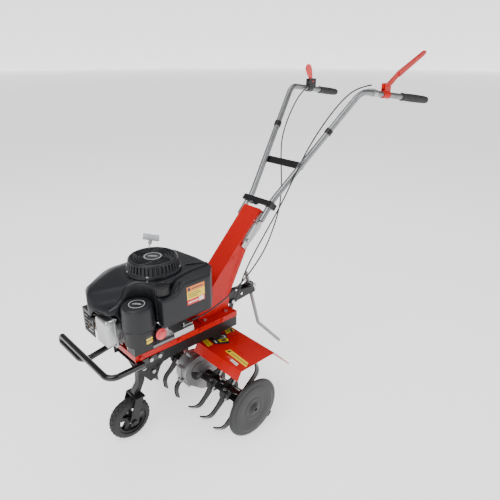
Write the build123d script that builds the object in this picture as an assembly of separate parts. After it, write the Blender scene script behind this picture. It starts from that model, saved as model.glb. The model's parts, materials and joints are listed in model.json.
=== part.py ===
from build123d import *
from math import cos, radians, sin
import os

os.makedirs("parts", exist_ok=True)

# Walk-behind petrol tiller, in millimetres. +Z is up, the machine travels towards -Y, and its left side is +X.
# It is laid out with the tine shaft's axis at Y = 0 and the ground at Z = 0, and is centred on Y when written.

# ---- driving dimensions -------------------------------------------------------------------------
running = 0.05  # radial clearance of a pin or shaft that turns
gap = 0.6  # gap between pieces that are not joined

disc_radius = 108.0  # plant guard discs at the ends of the tine shaft, which roll on the ground
disc_place = 288.0
disc_sheet = 2.5
rotor_height = disc_radius
tine_reach = 94.6  # radius at which a blade starts to bend over
tine_steel = 5.0
tine_bend = 36.0
tip_length = 21.0
tip_turn = 60.0
tip_width = 22.0
star_places = (80.0, 154.0, 228.0)
star_turns = (1.0, -1.0, 0.5)  # how far each star is turned from its neighbours' quarter
tip_lead = 8.0  # the blades' tips trail their shanks by this angle
hub_radius = 20.0
shaft_radius = 12.5
shaft_reach = 128.0
flange_radius = 44.0
flange_steel = 5.0

gearbox_half = 30.0
gearbox_radius = 60.0
gearbox_bulge = 62.0  # radius of the casting's front chamber
bulge_place = (-38.0, 142.0)
gearbox_wall = 6.0
worm_place = 66.0
wheel_gear_radius = 46.0
worm_radius = 13.0

deck_height = 361.0  # top of the chassis sheet, which the engine stands on
deck_half = 78.0
deck_front = -315.0
deck_rear = 110.0
deck_sheet = 3.0
deck_lip = 20.0
rail_steel = 4.0
rail_low = 300.0

fender_half = 272.0
fender_inner = 36.0
fender_height = 276.0
fender_sheet = 2.0

wheel_radius = 75.0
wheel_width = 40.0
wheel_place = -320.0
leg_pivot = (-262.0, 268.0)
fork_half = 29.0
fork_steel = 4.0

crank_place = -176.0
cylinder_height = 446.0
cylinder_front = -345.0
cowl_low = 474.0
cowl_top = 598.0
cowl_wall = 3.0
starter_radius = 79.0
starter_base = 90.0
starter_top = 643.0
cup_place = (88.5, -296.5)
cup_radius = 52.0
cup_top = 550.0
cap_place = (113.0, -222.0)
cap_radius = 25.0

pulley_low = 314.0
belt_width = 8.0
belt_thick = 7.0
engine_pulley = 28.0
gearbox_pulley = 40.0

column_half = 42.0
column_sheet = 2.5
bar_radius = 11.0
bar_wall = 1.6
bar_place = column_half + deck_sheet + gap + bar_radius
pivot_place = (190.0, 608.0)
bolt_radius = 4.0
slot_reach = 74.0
handle_up = 9.0
handle_down = 6.0

bumper_radius = 10.0
bumper_height = 330.0
bumper_front = -414.0

spur_radius = 7.0
spur_sleeve = 14.0


# ---- shapes that repeat -------------------------------------------------------------------------
def side_plate(outline, low_x, thickness):
    """A plate cut to an outline of (y, z) points, lying across X."""
    face = Plane.YZ.offset(low_x) * make_face(Polyline(*outline, close=True))
    return extrude(face, amount=thickness, dir=(1, 0, 0))


def level_plate(outline, low_z, thickness):
    """A plate cut to an outline of (x, y) points, lying flat."""
    face = Pos(0, 0, low_z) * make_face(Polyline(*outline, close=True))
    return extrude(face, amount=thickness, dir=(0, 0, 1))


def block(low, high):
    """A box between two opposite corners."""
    size = [high[i] - low[i] for i in range(3)]
    middle = [(high[i] + low[i]) / 2 for i in range(3)]
    return Pos(*middle) * Box(*size)


def rod(start, end, radius, bore=0.0):
    """A round bar or tube from one point to another."""
    axis = Vector(*end) - Vector(*start)
    section = Circle(radius) - Circle(bore) if bore else Circle(radius)
    return extrude(Plane(origin=start, z_dir=axis) * section, amount=axis.length)


def disc(x, y, low_z, high_z, radius, bore=0.0):
    """A round piece standing on Z."""
    return rod((x, y, low_z), (x, y, high_z), radius, bore)


def bent_tube(points, bends, radius, bore=0.0):
    """A round bar or tube along straight runs joined by arcs."""
    path = FilletPolyline(*points, radius=bends)
    section = Circle(radius) - Circle(bore) if bore else Circle(radius)
    return sweep(Plane(origin=path @ 0, z_dir=path % 0) * section, path=path)


def bolt(seat, outward, grip, radius=bolt_radius):
    """A hexagon bolt whose head sits on a seat, with its nut at the far end of the grip."""
    plane = Plane(origin=seat, z_dir=outward)
    head = extrude(plane * RegularPolygon(radius * 1.9, 6), amount=radius * 1.3)
    shank = extrude(plane.offset(-grip) * Circle(radius), amount=grip)
    nut = extrude(plane.offset(-grip - radius * 1.5) * RegularPolygon(radius * 1.9, 6), amount=radius * 1.5)
    return head + shank + nut


def mirrored(piece):
    """The same piece on the other side of the machine."""
    return mirror(piece, about=Plane.YZ)


def pair(piece):
    """A piece and its mirror image as two separate solids."""
    return Compound(children=[piece, mirrored(piece)])


def group(pieces):
    """Separate solids that share one node."""
    return Compound(children=list(pieces))


def around_x(piece, angle):
    """A piece made about the X axis, turned and lifted to the tine shaft."""
    return Pos(0, 0, rotor_height) * Rot(angle, 0, 0) * piece


parts = {}

# ---- tine rotor ---------------------------------------------------------------------------------
shaft = rod((-shaft_reach, 0, 0), (shaft_reach, 0, 0), shaft_radius)
key_collar = rod((-13, 0, 0), (13, 0, 0), shaft_radius + 5)

teeth = 24
gear_blank = rod((-11, 0, 0), (11, 0, 0), wheel_gear_radius, shaft_radius + 5)
tooth_gap = rod((-12, 0, wheel_gear_radius + 1), (12, 0, wheel_gear_radius + 1), 3.4)
gaps = [Rot(360 * n / teeth, 0, 0) * tooth_gap for n in range(teeth)]
worm_wheel = around_x(gear_blank - gaps, 0)

hub_inner = gearbox_half + 4
hub_outer = disc_place - 14
hub = rod((hub_inner, 0, 0), (hub_outer, 0, 0), hub_radius, shaft_radius)
for star in star_places:
    hub += rod((star - flange_steel / 2, 0, 0), (star + flange_steel / 2, 0, 0), flange_radius, shaft_radius)


def blade(star, face):
    """A sickle blade: a flat shank on one face of its flange, and a broad tip bent over away from it."""
    shank_x = star + face * (flange_steel + tine_steel) / 2
    lead = (1.0, tine_reach + 2)
    trail = (lead[0] + tip_width, tine_reach - 2)
    edge = Polyline((-19, hub_radius + 3), (19, hub_radius + 3))
    edge += ThreePointArc((19, hub_radius + 3), (17, 0.66 * tine_reach), trail)
    edge += Line(trail, lead)
    edge += ThreePointArc(lead, (-10, 0.6 * tine_reach), (-19, hub_radius + 3))
    flat = Plane.YZ.offset(shank_x - tine_steel / 2) * make_face(edge)
    shank = extrude(flat, amount=tine_steel, dir=(1, 0, 0))
    across = Vector(0, trail[0] - lead[0], trail[1] - lead[1])
    out = Vector(1, 0, 0).cross(across) * (1 / across.length)

    def at_bend(radius, angle):
        return (radius * sin(radians(angle)), face * (tine_bend - radius * cos(radians(angle))))

    outer, inner = tine_bend + tine_steel / 2, tine_bend - tine_steel / 2
    run = (tip_length * cos(radians(tip_turn)), face * tip_length * sin(radians(tip_turn)))
    outer_end, inner_end = at_bend(outer, tip_turn), at_bend(inner, tip_turn)
    outer_tip = (outer_end[0] + run[0], outer_end[1] + run[1])
    inner_tip = (inner_end[0] + run[0], inner_end[1] + run[1])
    strip = ThreePointArc(at_bend(outer, 0), at_bend(outer, tip_turn / 2), outer_end)
    strip += Polyline(outer_end, outer_tip, inner_tip, inner_end)
    strip += ThreePointArc(inner_end, at_bend(inner, tip_turn / 2), at_bend(inner, 0))
    strip += Line(at_bend(inner, 0), at_bend(outer, 0))
    bend_plane = Plane(origin=(shank_x, *lead), x_dir=out, z_dir=across)
    tip = extrude(bend_plane * make_face(strip), amount=across.length, dir=across)
    return shank + tip


blades = []
blade_bolts = []
for place, star in enumerate(star_places):
    for quarter in range(4):
        face = 1 if quarter % 2 == 0 else -1
        turn = 45 + tip_lead + 90 * quarter + star_turns[place]
        blades.append(Rot(turn, 0, 0) * blade(star, face))
        for reach in (27, 37):
            seat = (star + face * (flange_steel / 2 + tine_steel), 0, reach)
            blade_bolts.append(Rot(turn, 0, 0) * bolt(seat, (face, 0, 0), flange_steel + tine_steel, 3))
hub -= blade_bolts
blades = [one - blade_bolts[2 * n : 2 * n + 2] for n, one in enumerate(blades)]

pin_places = (shaft_reach - 16, disc_place - 24)
pins = [rod((x, 0, -hub_radius - 9), (x, 0, hub_radius + 9), 4) for x in pin_places]
pins = [pin + rod((x, 0, hub_radius + 9), (x, 0, hub_radius + 12), 7) for pin, x in zip(pins, pin_places)]
collar = rod((disc_place - 34, 0, 0), (disc_place - 9, 0, 0), hub_radius + 4, hub_radius) - pins
hub -= pins
main_shaft = around_x(shaft + key_collar, 0) - [around_x(side, 0) for pin in pins for side in (pin, mirrored(pin))]
parts["tine_shaft"] = group([main_shaft, worm_wheel])
dish = Polyline(
    (disc_place + 10, 5),
    (disc_place + 9, 12),
    (disc_place + 1, hub_radius + 4),
    (disc_place + 2.5, 0.6 * disc_radius),
    (disc_place - 1, disc_radius - 6),
    (disc_place - 8, disc_radius),
    (disc_place - 9, disc_radius - disc_sheet),
    (disc_place - 3.2, disc_radius - 8),
    (disc_place, 0.6 * disc_radius),
    (disc_place - 1.5, hub_radius + 4),
    (disc_place - 9, hub_radius + 4),
    (disc_place - 9, hub_radius),
    (disc_place - 1.5, hub_radius),
    (disc_place + 6, 10),
    (disc_place + 7.5, 5),
    close=True,
)
guard = revolve(make_face(dish), axis=Axis.X) + collar
guard -= pins
parts["tine_hubs"] = pair(around_x(hub, 0))
parts["tines"] = group(around_x(side, 0) for one in blades for side in (one, mirrored(one)))
parts["guard_discs"] = pair(around_x(guard, 0))
parts["rotor_fasteners"] = group(around_x(side, 0) for one in blade_bolts + pins for side in (one, mirrored(one)))

# ---- gearbox ------------------------------------------------------------------------------------
neck_front, neck_rear = 24.0, worm_place + 40.0
neck_top = rail_low - rail_steel - 2


def gearbox_shape(grow, depth):
    """The side view of the casting: a case about the tine shaft, a front chamber, and a neck for the worm."""
    rounds = Pos(0, rotor_height) * Circle(gearbox_radius + grow) + Pos(*bulge_place) * Circle(gearbox_bulge + grow)
    round_case = make_hull(rounds.edges())
    neck_middle = (neck_front + neck_rear) / 2
    low = rotor_height - 38
    neck = Pos(neck_middle, (low + neck_top) / 2) * Rectangle(neck_rear - neck_front + 2 * grow, neck_top - low)
    return extrude(Plane.YZ * (round_case + neck), amount=depth, dir=(1, 0, 0))


lug_spots = [
    (bulge_place[0] - (gearbox_bulge + 5) * cos(radians(a)), bulge_place[1] + (gearbox_bulge + 5) * sin(radians(a)))
    for a in (-62, -20, 25, 75)
]
lug_spots += [(neck_rear + 5, rotor_height + 60), (neck_rear + 5, neck_top - 34), (neck_front - 5, neck_top - 50)]
case = gearbox_shape(0, gearbox_half) + gearbox_shape(6, 7)
for y, z in lug_spots:
    case += rod((0, y, z), (11, y, z), 9)
case -= Pos(-1, 0, 0) * gearbox_shape(-gearbox_wall, gearbox_half - gearbox_wall + 1)
case += rod((gearbox_half, 0, rotor_height), (gearbox_half + 2, 0, rotor_height), 30)
case += rod((gearbox_half, *bulge_place), (gearbox_half + 2, *bulge_place), 36)
case -= rod((-1, 0, rotor_height), (gearbox_half + 3, 0, rotor_height), 23)
worm_bore = disc(0, worm_place, rotor_height + 20, neck_top + 1, worm_radius + 3)
case -= worm_bore
case_bolts = [bolt((11, y, z), (1, 0, 0), 22, 3) for y, z in lug_spots]
parts["gearbox_left"] = case - case_bolts
parts["gearbox_right"] = mirrored(case) - case_bolts
bush = rod((gearbox_half - 16, 0, rotor_height), (gearbox_half + 2, 0, rotor_height), 23, shaft_radius + running)

worm_foot = rotor_height - 22
worm = disc(0, worm_place, worm_foot, pulley_low + 18, 8)
worm += disc(0, worm_place, worm_foot + 2, rotor_height + 26, worm_radius)
for turn in range(7):
    rib_low = worm_foot + 4 + 6 * turn
    worm += disc(0, worm_place, rib_low, rib_low + 3, worm_radius + 2)
top_bush = disc(0, worm_place, neck_top - 16, neck_top, worm_radius + 3, 8 + running)
parts["gearbox_bushes"] = group([bush, mirrored(bush), top_bush])


def pulley(y, radius, bore):
    """A flat-bottomed belt pulley with two cheeks."""
    wheel = disc(0, y, pulley_low, pulley_low + belt_width + 8, radius - belt_thick, bore)
    wheel += disc(0, y, pulley_low, pulley_low + 3, radius + 3, bore)
    wheel += disc(0, y, pulley_low + belt_width + 5, pulley_low + belt_width + 8, radius + 3, bore)
    return wheel


parts["worm_shaft"] = group([worm, pulley(worm_place, gearbox_pulley, 8)])


def belt_hull(grow):
    """The area inside the belt's run round both pulleys."""
    rings = Pos(0, crank_place) * Circle(engine_pulley + grow)
    rings += Pos(0, worm_place) * Circle(gearbox_pulley + grow)
    return make_hull(rings.edges())


belt_loop = belt_hull(0) - belt_hull(-belt_thick + gap)
parts["drive_belt"] = extrude(Pos(0, 0, pulley_low + 4) * belt_loop, amount=belt_width, dir=(0, 0, 1))

idler_pivot = (58.0, 34.0)
idler_spot = (49.0, -48.0)
idler_radius = 12.0
arm_low = pulley_low - 7
arm = make_hull((Pos(*idler_pivot) * Circle(9) + Pos(*idler_spot) * Circle(8)).edges())
arm = extrude(Pos(0, 0, arm_low) * arm, amount=4)
arm += disc(*idler_spot, arm_low + 4, pulley_low + 16, 4)
arm -= disc(*idler_pivot, arm_low - 1, arm_low + 5, 4 + running)
parts["idler_arm"] = arm
parts["idler_pulley"] = disc(*idler_spot, pulley_low, pulley_low + 15, idler_radius, 4 + running)
idler_stud = disc(*idler_pivot, rail_low + rail_steel, arm_low + 8, 4) + disc(*idler_pivot, arm_low + 4.5, arm_low + 8, 8)
idler_stud += disc(*idler_pivot, rail_low + rail_steel, arm_low - 0.5, 8)

# ---- chassis ------------------------------------------------------------------------------------
deck = block((-deck_half, deck_front, deck_height - deck_lip), (deck_half, deck_rear, deck_height))
deck -= block(
    (-deck_half + deck_sheet, deck_front + deck_sheet, deck_height - deck_lip - 1),
    (deck_half - deck_sheet, deck_rear + 1, deck_height - deck_sheet),
)
deck -= disc(0, crank_place, deck_height - 5, deck_height + 1, 34)
rail_x = deck_half - deck_sheet
rail_high = deck_height - deck_sheet
rail = block((rail_x - rail_steel, deck_front + deck_sheet, rail_low), (rail_x, deck_rear, rail_high))
front_tie = block((-rail_x + rail_steel, -300, rail_low), (rail_x - rail_steel, -184, rail_low + rail_steel))
rear_tie = block((-rail_x + rail_steel, -8, rail_low), (rail_x - rail_steel, deck_rear, rail_low + rail_steel))
rear_tie -= disc(0, worm_place, rail_low - 1, rail_low + rail_steel + 1, 14)
rear_tie -= disc(*idler_pivot, rail_low - 1, rail_low + rail_steel + 1, 3)
engine_studs = [(x, crank_place + y) for x in (-60, 60) for y in (-78, 78)]
engine_bolts = [bolt((x, y, deck_height + 10), (0, 0, 1), 10 + deck_sheet) for x, y in engine_studs]
rail_bolts = [bolt((deck_half, y, 350), (1, 0, 0), deck_sheet + rail_steel) for y in (-296, -150, -60, 40)]
tab_bolts = [bolt((rail_x + 6, y, bumper_height), (1, 0, 0), rail_steel + 6) for y in (-262, -230)]
deck_bolts = rail_bolts + tab_bolts
deck_bolts = deck_bolts + [mirrored(one) for one in deck_bolts]
deck -= deck_bolts + engine_bolts
rails = [rail - deck_bolts, mirrored(rail) - deck_bolts, front_tie, rear_tie]
parts["chassis_deck"] = deck

tab = block((rail_x, -300, bumper_height - bumper_radius), (rail_x + 6, -212, bumper_height + bumper_radius))
tab -= deck_bolts
arm_x = rail_x + 6 + bumper_radius - 2
bumper_route = [
    (arm_x, -292, bumper_height),
    (arm_x, bumper_front, bumper_height),
    (-252, bumper_front, bumper_height),
    (-252, bumper_front - 3, bumper_height - 24),
    (-arm_x, bumper_front - 3, bumper_height - 24),
    (-arm_x, -292, bumper_height - 2),
]
bumper = bent_tube(bumper_route, [34, 11.5, 11.5, 34], bumper_radius)
bumper += tab
bumper += mirrored(tab)
bumper -= block((-rail_x, -300, bumper_height - 30), (rail_x, -212, bumper_height + 30))
parts["front_bumper"] = bumper

fender_line = [(-62, 244), (-44, fender_height), (111, fender_height), (191, 190)]
drop = fender_sheet * 1.1
fender_under = [(191 - drop, 190 - drop * 0.9), (111 - 1, fender_height - fender_sheet)]
fender_under += [(-43, fender_height - fender_sheet), (-62 + drop, 244 - 0.5)]
fender = side_plate(fender_line + fender_under, fender_inner, fender_half - fender_inner)
hanger = block((rail_x - 22, 4, fender_height), (rail_x, 34, rail_low))
fender_bolt = bolt((rail_x - 11, 19, fender_height - fender_sheet), (0, 0, -1), fender_sheet + 16, 3)
hanger -= fender_bolt
fender -= fender_bolt
parts["fenders"] = pair(fender)
rails += [hanger, mirrored(hanger)]
fender_bolts = [fender_bolt, mirrored(fender_bolt)]

# ---- front wheel on its leg ---------------------------------------------------------------------
cheek = side_plate([(-296, rail_low), (-184, rail_low), (-184, 268), (-214, 206), (-240, 200), (-278, 252)], 22, rail_steel)
leg_bolt = rod((-32, *leg_pivot), (32, *leg_pivot), 5)
leg_bolt += rod((26, *leg_pivot), (32, *leg_pivot), 9)
leg_bolt += rod((-32, *leg_pivot), (-26, *leg_pivot), 9)
stop_bolt = bolt((26, -226, 236), (1, 0, 0), 52)
slot = side_plate([(-206, 290), (-198, 290), (-206, 250), (-214, 250)], 20, 10)
cheek -= [slot, leg_bolt, stop_bolt]
parts["leg_bracket"] = pair(cheek)
leg_line = [(-275, 282), (-249, 282), (-249, 250), (-256, 205), (-276, 166), (-300, 160), (-300, 172), (-280, 200), (-276, 250)]
leg = side_plate(leg_line, -12, 24)
leg -= rod((-20, *leg_pivot), (20, *leg_pivot), 5 + running)
bridge = block((-fork_half - fork_steel, -306, 156), (fork_half + fork_steel, -270, 162))
fork_line = [(-306, 162), (-276, 162), (-300, 90), (-306, 62), (-334, 62), (-334, 88)]
leg += bridge
leg += side_plate(fork_line, fork_half, fork_steel)
leg += mirrored(side_plate(fork_line, fork_half, fork_steel))
axle = bolt((fork_half + fork_steel, wheel_place, wheel_radius), (1, 0, 0), 2 * (fork_half + fork_steel), 5)
leg -= axle
parts["wheel_leg"] = group([leg, axle])


def about_axle(piece):
    """A piece made about the X axis, moved to the front wheel's axle."""
    return Pos(0, wheel_place, wheel_radius) * piece


half_width = wheel_width / 2
rim_radius = 0.7 * wheel_radius
hub_half = fork_half - 1.5
rim = rod((-hub_half, 0, 0), (hub_half, 0, 0), 12)
rim += rod((-half_width + 4, 0, 0), (half_width - 4, 0, 0), rim_radius, rim_radius - 8)
for spoke in range(5):
    arm_shape = block((-8, -7, 9), (8, 7, rim_radius - 4))
    rim += Rot(72 * spoke, 0, 0) * arm_shape
rim -= rod((-hub_half - 1, 0, 0), (hub_half + 1, 0, 0), 5 + running)
parts["wheel_rim"] = about_axle(rim)
tyre_edge = Polyline(
    (-half_width + 4, rim_radius),
    (-half_width, rim_radius + 6),
    (-half_width + 1.5, wheel_radius - 7),
    (-half_width + 9, wheel_radius),
    (half_width - 9, wheel_radius),
    (half_width - 1.5, wheel_radius - 7),
    (half_width, rim_radius + 6),
    (half_width - 4, rim_radius),
    close=True,
)
parts["wheel_tyre"] = about_axle(revolve(make_face(tyre_edge), axis=Axis.X))

# ---- engine -------------------------------------------------------------------------------------
base_half = 76.0
crankcase = block((-base_half, crank_place - 92, deck_height), (base_half, crank_place + 92, deck_height + 10))
crankcase = fillet(crankcase.edges().filter_by(Axis.Z), 22)
crankcase += disc(0, crank_place, deck_height + 10, 486, 66)
crankcase += block((-44, crank_place - 74, deck_height + 10), (36, crank_place - 40, 482))
crankcase -= disc(0, crank_place, deck_height + 8, 476, 52)
crankcase -= disc(0, crank_place, deck_height - 1, 487, 10 + running)
crankcase -= rod((0, crank_place, cylinder_height), (0, crank_place - 80, cylinder_height), 33)
crankcase += block((24, -312, deck_height), (74, crank_place - 86, deck_height + 17))
crankcase -= engine_bolts
parts["crankcase"] = crankcase
crank = disc(0, crank_place, pulley_low - 6, 578, 10)
crank += disc(0, crank_place, deck_height + 24, deck_height + 38, 40)
crank += disc(0, crank_place, 440, 452, 40)
crank += disc(0, crank_place, 566, 578, 15)
parts["crankshaft"] = group([crank, pulley(crank_place, engine_pulley, 10)])
flywheel = disc(0, crank_place, 500, 530, 74, 10)
flywheel += disc(0, crank_place, 530, 536, 34, 10)
for fin in range(12):
    flywheel += Pos(0, crank_place, 0) * Rot(0, 0, 30 * fin) * block((36, -1.5, 530), (70, 1.5, 552))
parts["flywheel"] = flywheel

barrel_rear = crank_place - 74
barrel = rod((0, barrel_rear, cylinder_height), (0, cylinder_front, cylinder_height), 38, 30)
fin_count = 8
fin_pitch = (barrel_rear - cylinder_front) / fin_count
for n in range(fin_count):
    fin_y = cylinder_front + n * fin_pitch
    fin_plate = block((-46, fin_y, 396), (36, fin_y + 3, cowl_low - 2))
    barrel += fin_plate - rod((0, barrel_rear, cylinder_height), (0, cylinder_front - 1, cylinder_height), 30)
barrel += block((-46, cylinder_front - 4, 396), (36, cylinder_front, 496))
parts["cylinder"] = barrel

head_front = cylinder_front - 4
valve_cover = block((-33, head_front - 32, 400), (41, head_front, 494))
valve_cover = fillet(valve_cover.edges().filter_by(Axis.Y), 14)
valve_cover = fillet(valve_cover.faces().sort_by(Axis.Y)[0].edges(), 9)
cover_flange = block((-38, head_front - 4, 396), (45, head_front, 499))
valve_cover += fillet(cover_flange.edges().filter_by(Axis.Y), 8)
cover_screws = [bolt((x, head_front - 4, z), (0, -1, 0), 4, 2.5) for x, z in ((-34, 402), (41, 402), (-34, 493), (41, 493))]
valve_cover -= block((-27, head_front - 27, 406), (35, head_front - 3, 488))

plug_base = (-45.0, cylinder_front + 4, 457.0)
plug_way = (-0.66, -0.742, 0.12)


def along_plug(reach):
    return tuple(plug_base[i] + plug_way[i] * reach for i in range(3))


plug = rod(along_plug(9), along_plug(14), 10)
plug += rod(along_plug(14), along_plug(34), 6)
plug += rod(along_plug(34), along_plug(40), 4)
plug += rod(along_plug(-8), along_plug(9), 6.5)
plug -= barrel
boot = rod(along_plug(28), along_plug(54), 9) - plug
parts["spark_plug"] = group([plug, boot])

muffler = block((-148, -352, 388), (-88, -252, 462))
muffler = fillet(muffler.edges().filter_by(Axis.Y), 16)
muffler = fillet(muffler.faces().sort_by(Axis.Y)[0].edges(), 8)
muffler += rod((-89, -300, 424), (-46, -300, 424), 12)
muffler += rod((-118, -352, 410), (-118, -364, 410), 9, 6)
muffler -= barrel
parts["muffler"] = muffler
shield = block((-154, -366, 380), (-82, -246, 468))
shield -= block((-151, -363, 379), (-79, -245, 465))
for slit in range(5):
    shield -= block((-144, -368, 392 + 14 * slit), (-92, -362, 398 + 14 * slit))
shield -= rod((-118, -352, 410), (-118, -370, 410), 11)
parts["muffler_shield"] = shield - muffler


def cowl_plan():
    """The engine cowl from above: a broad round-cornered shell with a straight side to the tank."""
    corners = [(36, -362), (-66, -382), (-122, -358), (-154, -290), (-154, -96), (-104, -30), (20, -14), (88, -14)]
    corners += [(90, -90), (106, -176), (106, -250)]
    flat = make_face(Polyline(*corners, close=True))
    soft = [flat.vertices().sort_by_distance((x, y, 0))[0] for x, y in corners[1:7]]
    return fillet(soft, 26)


def front_slope(piece, drop):
    """A piece cut to the cowl's top, which is level over the starter and falls away to the front."""
    wedge = [(-262, cowl_top - drop), (-420, cowl_top - drop - 60), (-420, cowl_top + 80), (-262, cowl_top + 80)]
    piece -= side_plate(wedge, -300, 600)
    side = [(-100, cowl_top - drop), (-200, cowl_top - drop - 44), (-200, cowl_top + 80), (-100, cowl_top + 80)]
    face = Plane.XZ * make_face(Polyline(*side, close=True))
    return piece - extrude(face, amount=600, both=True)


cowl = extrude(Pos(0, 0, cowl_low) * cowl_plan(), amount=cowl_top - cowl_low)
cowl = front_slope(cowl, 0)
hollow = extrude(Pos(0, 0, cowl_low - 1) * offset(cowl_plan(), -cowl_wall), amount=cowl_top - cowl_wall - cowl_low + 1)
hollow = front_slope(hollow, cowl_wall)
cup_hole = disc(*cup_place, cowl_low - 2, cowl_top + 1, cup_radius + 6)
cup_arch = disc(*cup_place, cowl_low - 2, cowl_top + 1, cup_radius + 6 + cowl_wall) & extrude(
    Pos(0, 0, cowl_low) * cowl_plan(), amount=cowl_top - cowl_low
)
cup_arch = front_slope(cup_arch, 0)
cap_hole = disc(*cap_place, cowl_low - 2, cowl_top + 1, cap_radius + 3)
cowl -= hollow
cowl += cup_arch
cowl -= [cup_hole, cap_hole]
cowl -= disc(0, crank_place, cowl_top - 10, cowl_top + 1, 70)
cowl -= block((-48, -400, cowl_low - 1), (50, cylinder_front + 7, 506))
cowl_main = cowl.solids().sort_by(SortBy.VOLUME)[-1]
parts["engine_cowl"] = cowl_main

tank_low = 466.0
tank_step = [(-270, 566), (-194, 566), (-168, cowl_top - 2), (-168, cowl_top + 20), (-270, cowl_top + 20)]
tank_corners = [(108, -244), (150, -244), (150, -62), (96, -15), (89.5, -15), (91.5, -90), (107.5, -176)]
tank_face = make_face(Polyline(*tank_corners, close=True)) + Pos(*cap_place) * Circle(cap_radius - 3)
tank = extrude(Pos(0, 0, tank_low) * tank_face, amount=cowl_top - 2 - tank_low)
tank -= side_plate(tank_step, 80, 100)
tank -= disc(*cup_place, 400, 700, cup_radius + 6)
tank_side = [e for e in tank.edges().filter_by(Axis.Z) if e.center().X > 140]
tank = fillet(tank_side, 14)
tank_room = extrude(Pos(0, 0, tank_low + 3) * offset(tank_face, -3), amount=cowl_top - 8 - tank_low)
tank -= tank_room - side_plate([(y + 3, z - 3) for y, z in tank_step], 80, 100)
tank += disc(*cap_place, 552, 584, cap_radius - 6)
tank -= disc(*cap_place, 520, 585, cap_radius - 9)
tank -= Pos(-1, 0, 0) * cowl_main
parts["fuel_tank"] = tank.solids().sort_by(SortBy.VOLUME)[-1]
fuel_cap = disc(*cap_place, 570, 598, cap_radius, cap_radius - 5.7) + disc(*cap_place, 584.3, 598, cap_radius)
for rib in range(18):
    groove = Pos(*cap_place, 584) * Rot(0, 0, 20 * rib) * Pos(cap_radius + 0.6, 0, 0) * Cylinder(1.8, 40)
    fuel_cap -= groove
parts["fuel_cap"] = fuel_cap

drum = disc(0, crank_place, cowl_top, cowl_top + 9, starter_base, starter_radius - 3)
drum += disc(0, crank_place, cowl_top + 9, starter_top - 4, starter_radius, starter_radius - 3)
drum += disc(0, crank_place, starter_top - 4, starter_top, starter_radius)
for louvre in range(40):
    cut = block((starter_radius - 8, -2, cowl_top + 12), (starter_radius + 4, 2, starter_top - 12))
    drum -= Pos(0, crank_place, 0) * Rot(0, 0, 9 * louvre) * cut
for ring in (34, 44, 54, 64):
    slot_ring = disc(0, crank_place, starter_top - 5, starter_top + 1, ring + 5, ring)
    for web in range(4):
        web_bar = block((ring - 2, -6, starter_top - 6), (ring + 8, 6, starter_top + 2))
        slot_ring -= Pos(0, crank_place, 0) * Rot(0, 0, 90 * web + 12 * (ring / 10)) * web_bar
    drum -= slot_ring
starter_screws = [
    bolt(
        (
            (starter_base - 5) * cos(radians(a)),
            crank_place + (starter_base - 5) * sin(radians(a)),
            cowl_top + 9,
        ),
        (0, 0, 1),
        9 + cowl_wall,
        2.5,
    )
    for a in (45, 135, 225, 258, 315)
]
drum -= starter_screws
parts["engine_cowl"] -= starter_screws
parts["fuel_tank"] -= starter_screws
spindle = disc(0, crank_place, starter_top - 26, starter_top - 3, 8)
rope_exit = (-66.0, crank_place + 26, starter_top - 6)
pull_way = Vector(0.16, 0.20, 0.96).normalized()
pull_tuple = tuple(pull_way)


def along_pull(reach):
    return tuple(rope_exit[i] + pull_tuple[i] * reach for i in range(3))


drum -= rod(along_pull(-12), along_pull(14), 5)
parts["starter_housing"] = drum + spindle
parts["starter_reel"] = disc(0, crank_place, starter_top - 24, starter_top - 8, 28, 8 + running)
parts["starter_rope"] = rod(along_pull(-8), along_pull(20), 1.8)
stem = rod(along_pull(20), along_pull(38), 6)
grip_middle = Vector(*along_pull(44))
grip_plane = Plane(origin=grip_middle, x_dir=(0.45, 0.87, 0.1), z_dir=pull_tuple)
handle = stem + grip_plane * fillet(Box(52, 20, 19).edges().filter_by(Axis.X), 8)
parts["pull_handle"] = handle - parts["starter_rope"]
parts["engine_screws"] = group(starter_screws + cover_screws)
valve_cover -= cover_screws
parts["valve_cover"] = valve_cover
parts["cylinder"] -= cover_screws

cleaner = disc(*cup_place, 420, 470, cup_radius - 5)
cleaner += block((50, -262, 424), (128, -238, 464))
cleaner += block((64, -330, 386), (108, -264, 424))
cleaner -= disc(*cup_place, 426, 471, cup_radius - 8)
cleaner -= parts["cylinder"]
cleaner_lid = disc(*cup_place, 470, cup_top, cup_radius, cup_radius - 3)
cleaner_lid += disc(*cup_place, cup_top - 4, cup_top, cup_radius)
cleaner_lid = fillet(cleaner_lid.faces().sort_by(Axis.Z)[-1].edges(), 3)
parts["cleaner_lid"] = cleaner_lid
parts["air_filter"] = disc(*cup_place, 426, cup_top - 20, 36, 22)
carburettor = block((44, -236, 418), (92, -196, 462)) + rod((44, -216, 440), (66, -216, 440), 15)
carburettor += disc(70, -216, 392, 418, 19)
carburettor += block((60, -196, 418), (126, -120, 421))
carburettor += block((122, -196, 402), (126, -120, 421))
carburettor -= crankcase
carburettor -= disc(112, -150, 400, 430, 3 + running)
parts["carburettor"] = carburettor.solids().sort_by(SortBy.VOLUME)[-1]
throttle_arm = disc(112, -150, 410, 434, 3) + block((106, -156, 424), (118, -118, 427))
parts["throttle_arm"] = throttle_arm
bulb_spot = (128.0, -247.0, 444.0)
bulb_flange = rod(bulb_spot, (bulb_spot[0] + 3, *bulb_spot[1:]), 20)
cleaner += bulb_flange
cleaner -= rod((118, *bulb_spot[1:]), (132, *bulb_spot[1:]), 16.5)
parts["air_cleaner"] = cleaner
bulb = rod((131 - 6, *bulb_spot[1:]), (138, *bulb_spot[1:]), 16)
bulb += rod((134, *bulb_spot[1:]), (145, *bulb_spot[1:]), 14)
parts["primer_bulb"] = fillet(bulb.faces().sort_by(Axis.X)[-1].edges(), 5)

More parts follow.
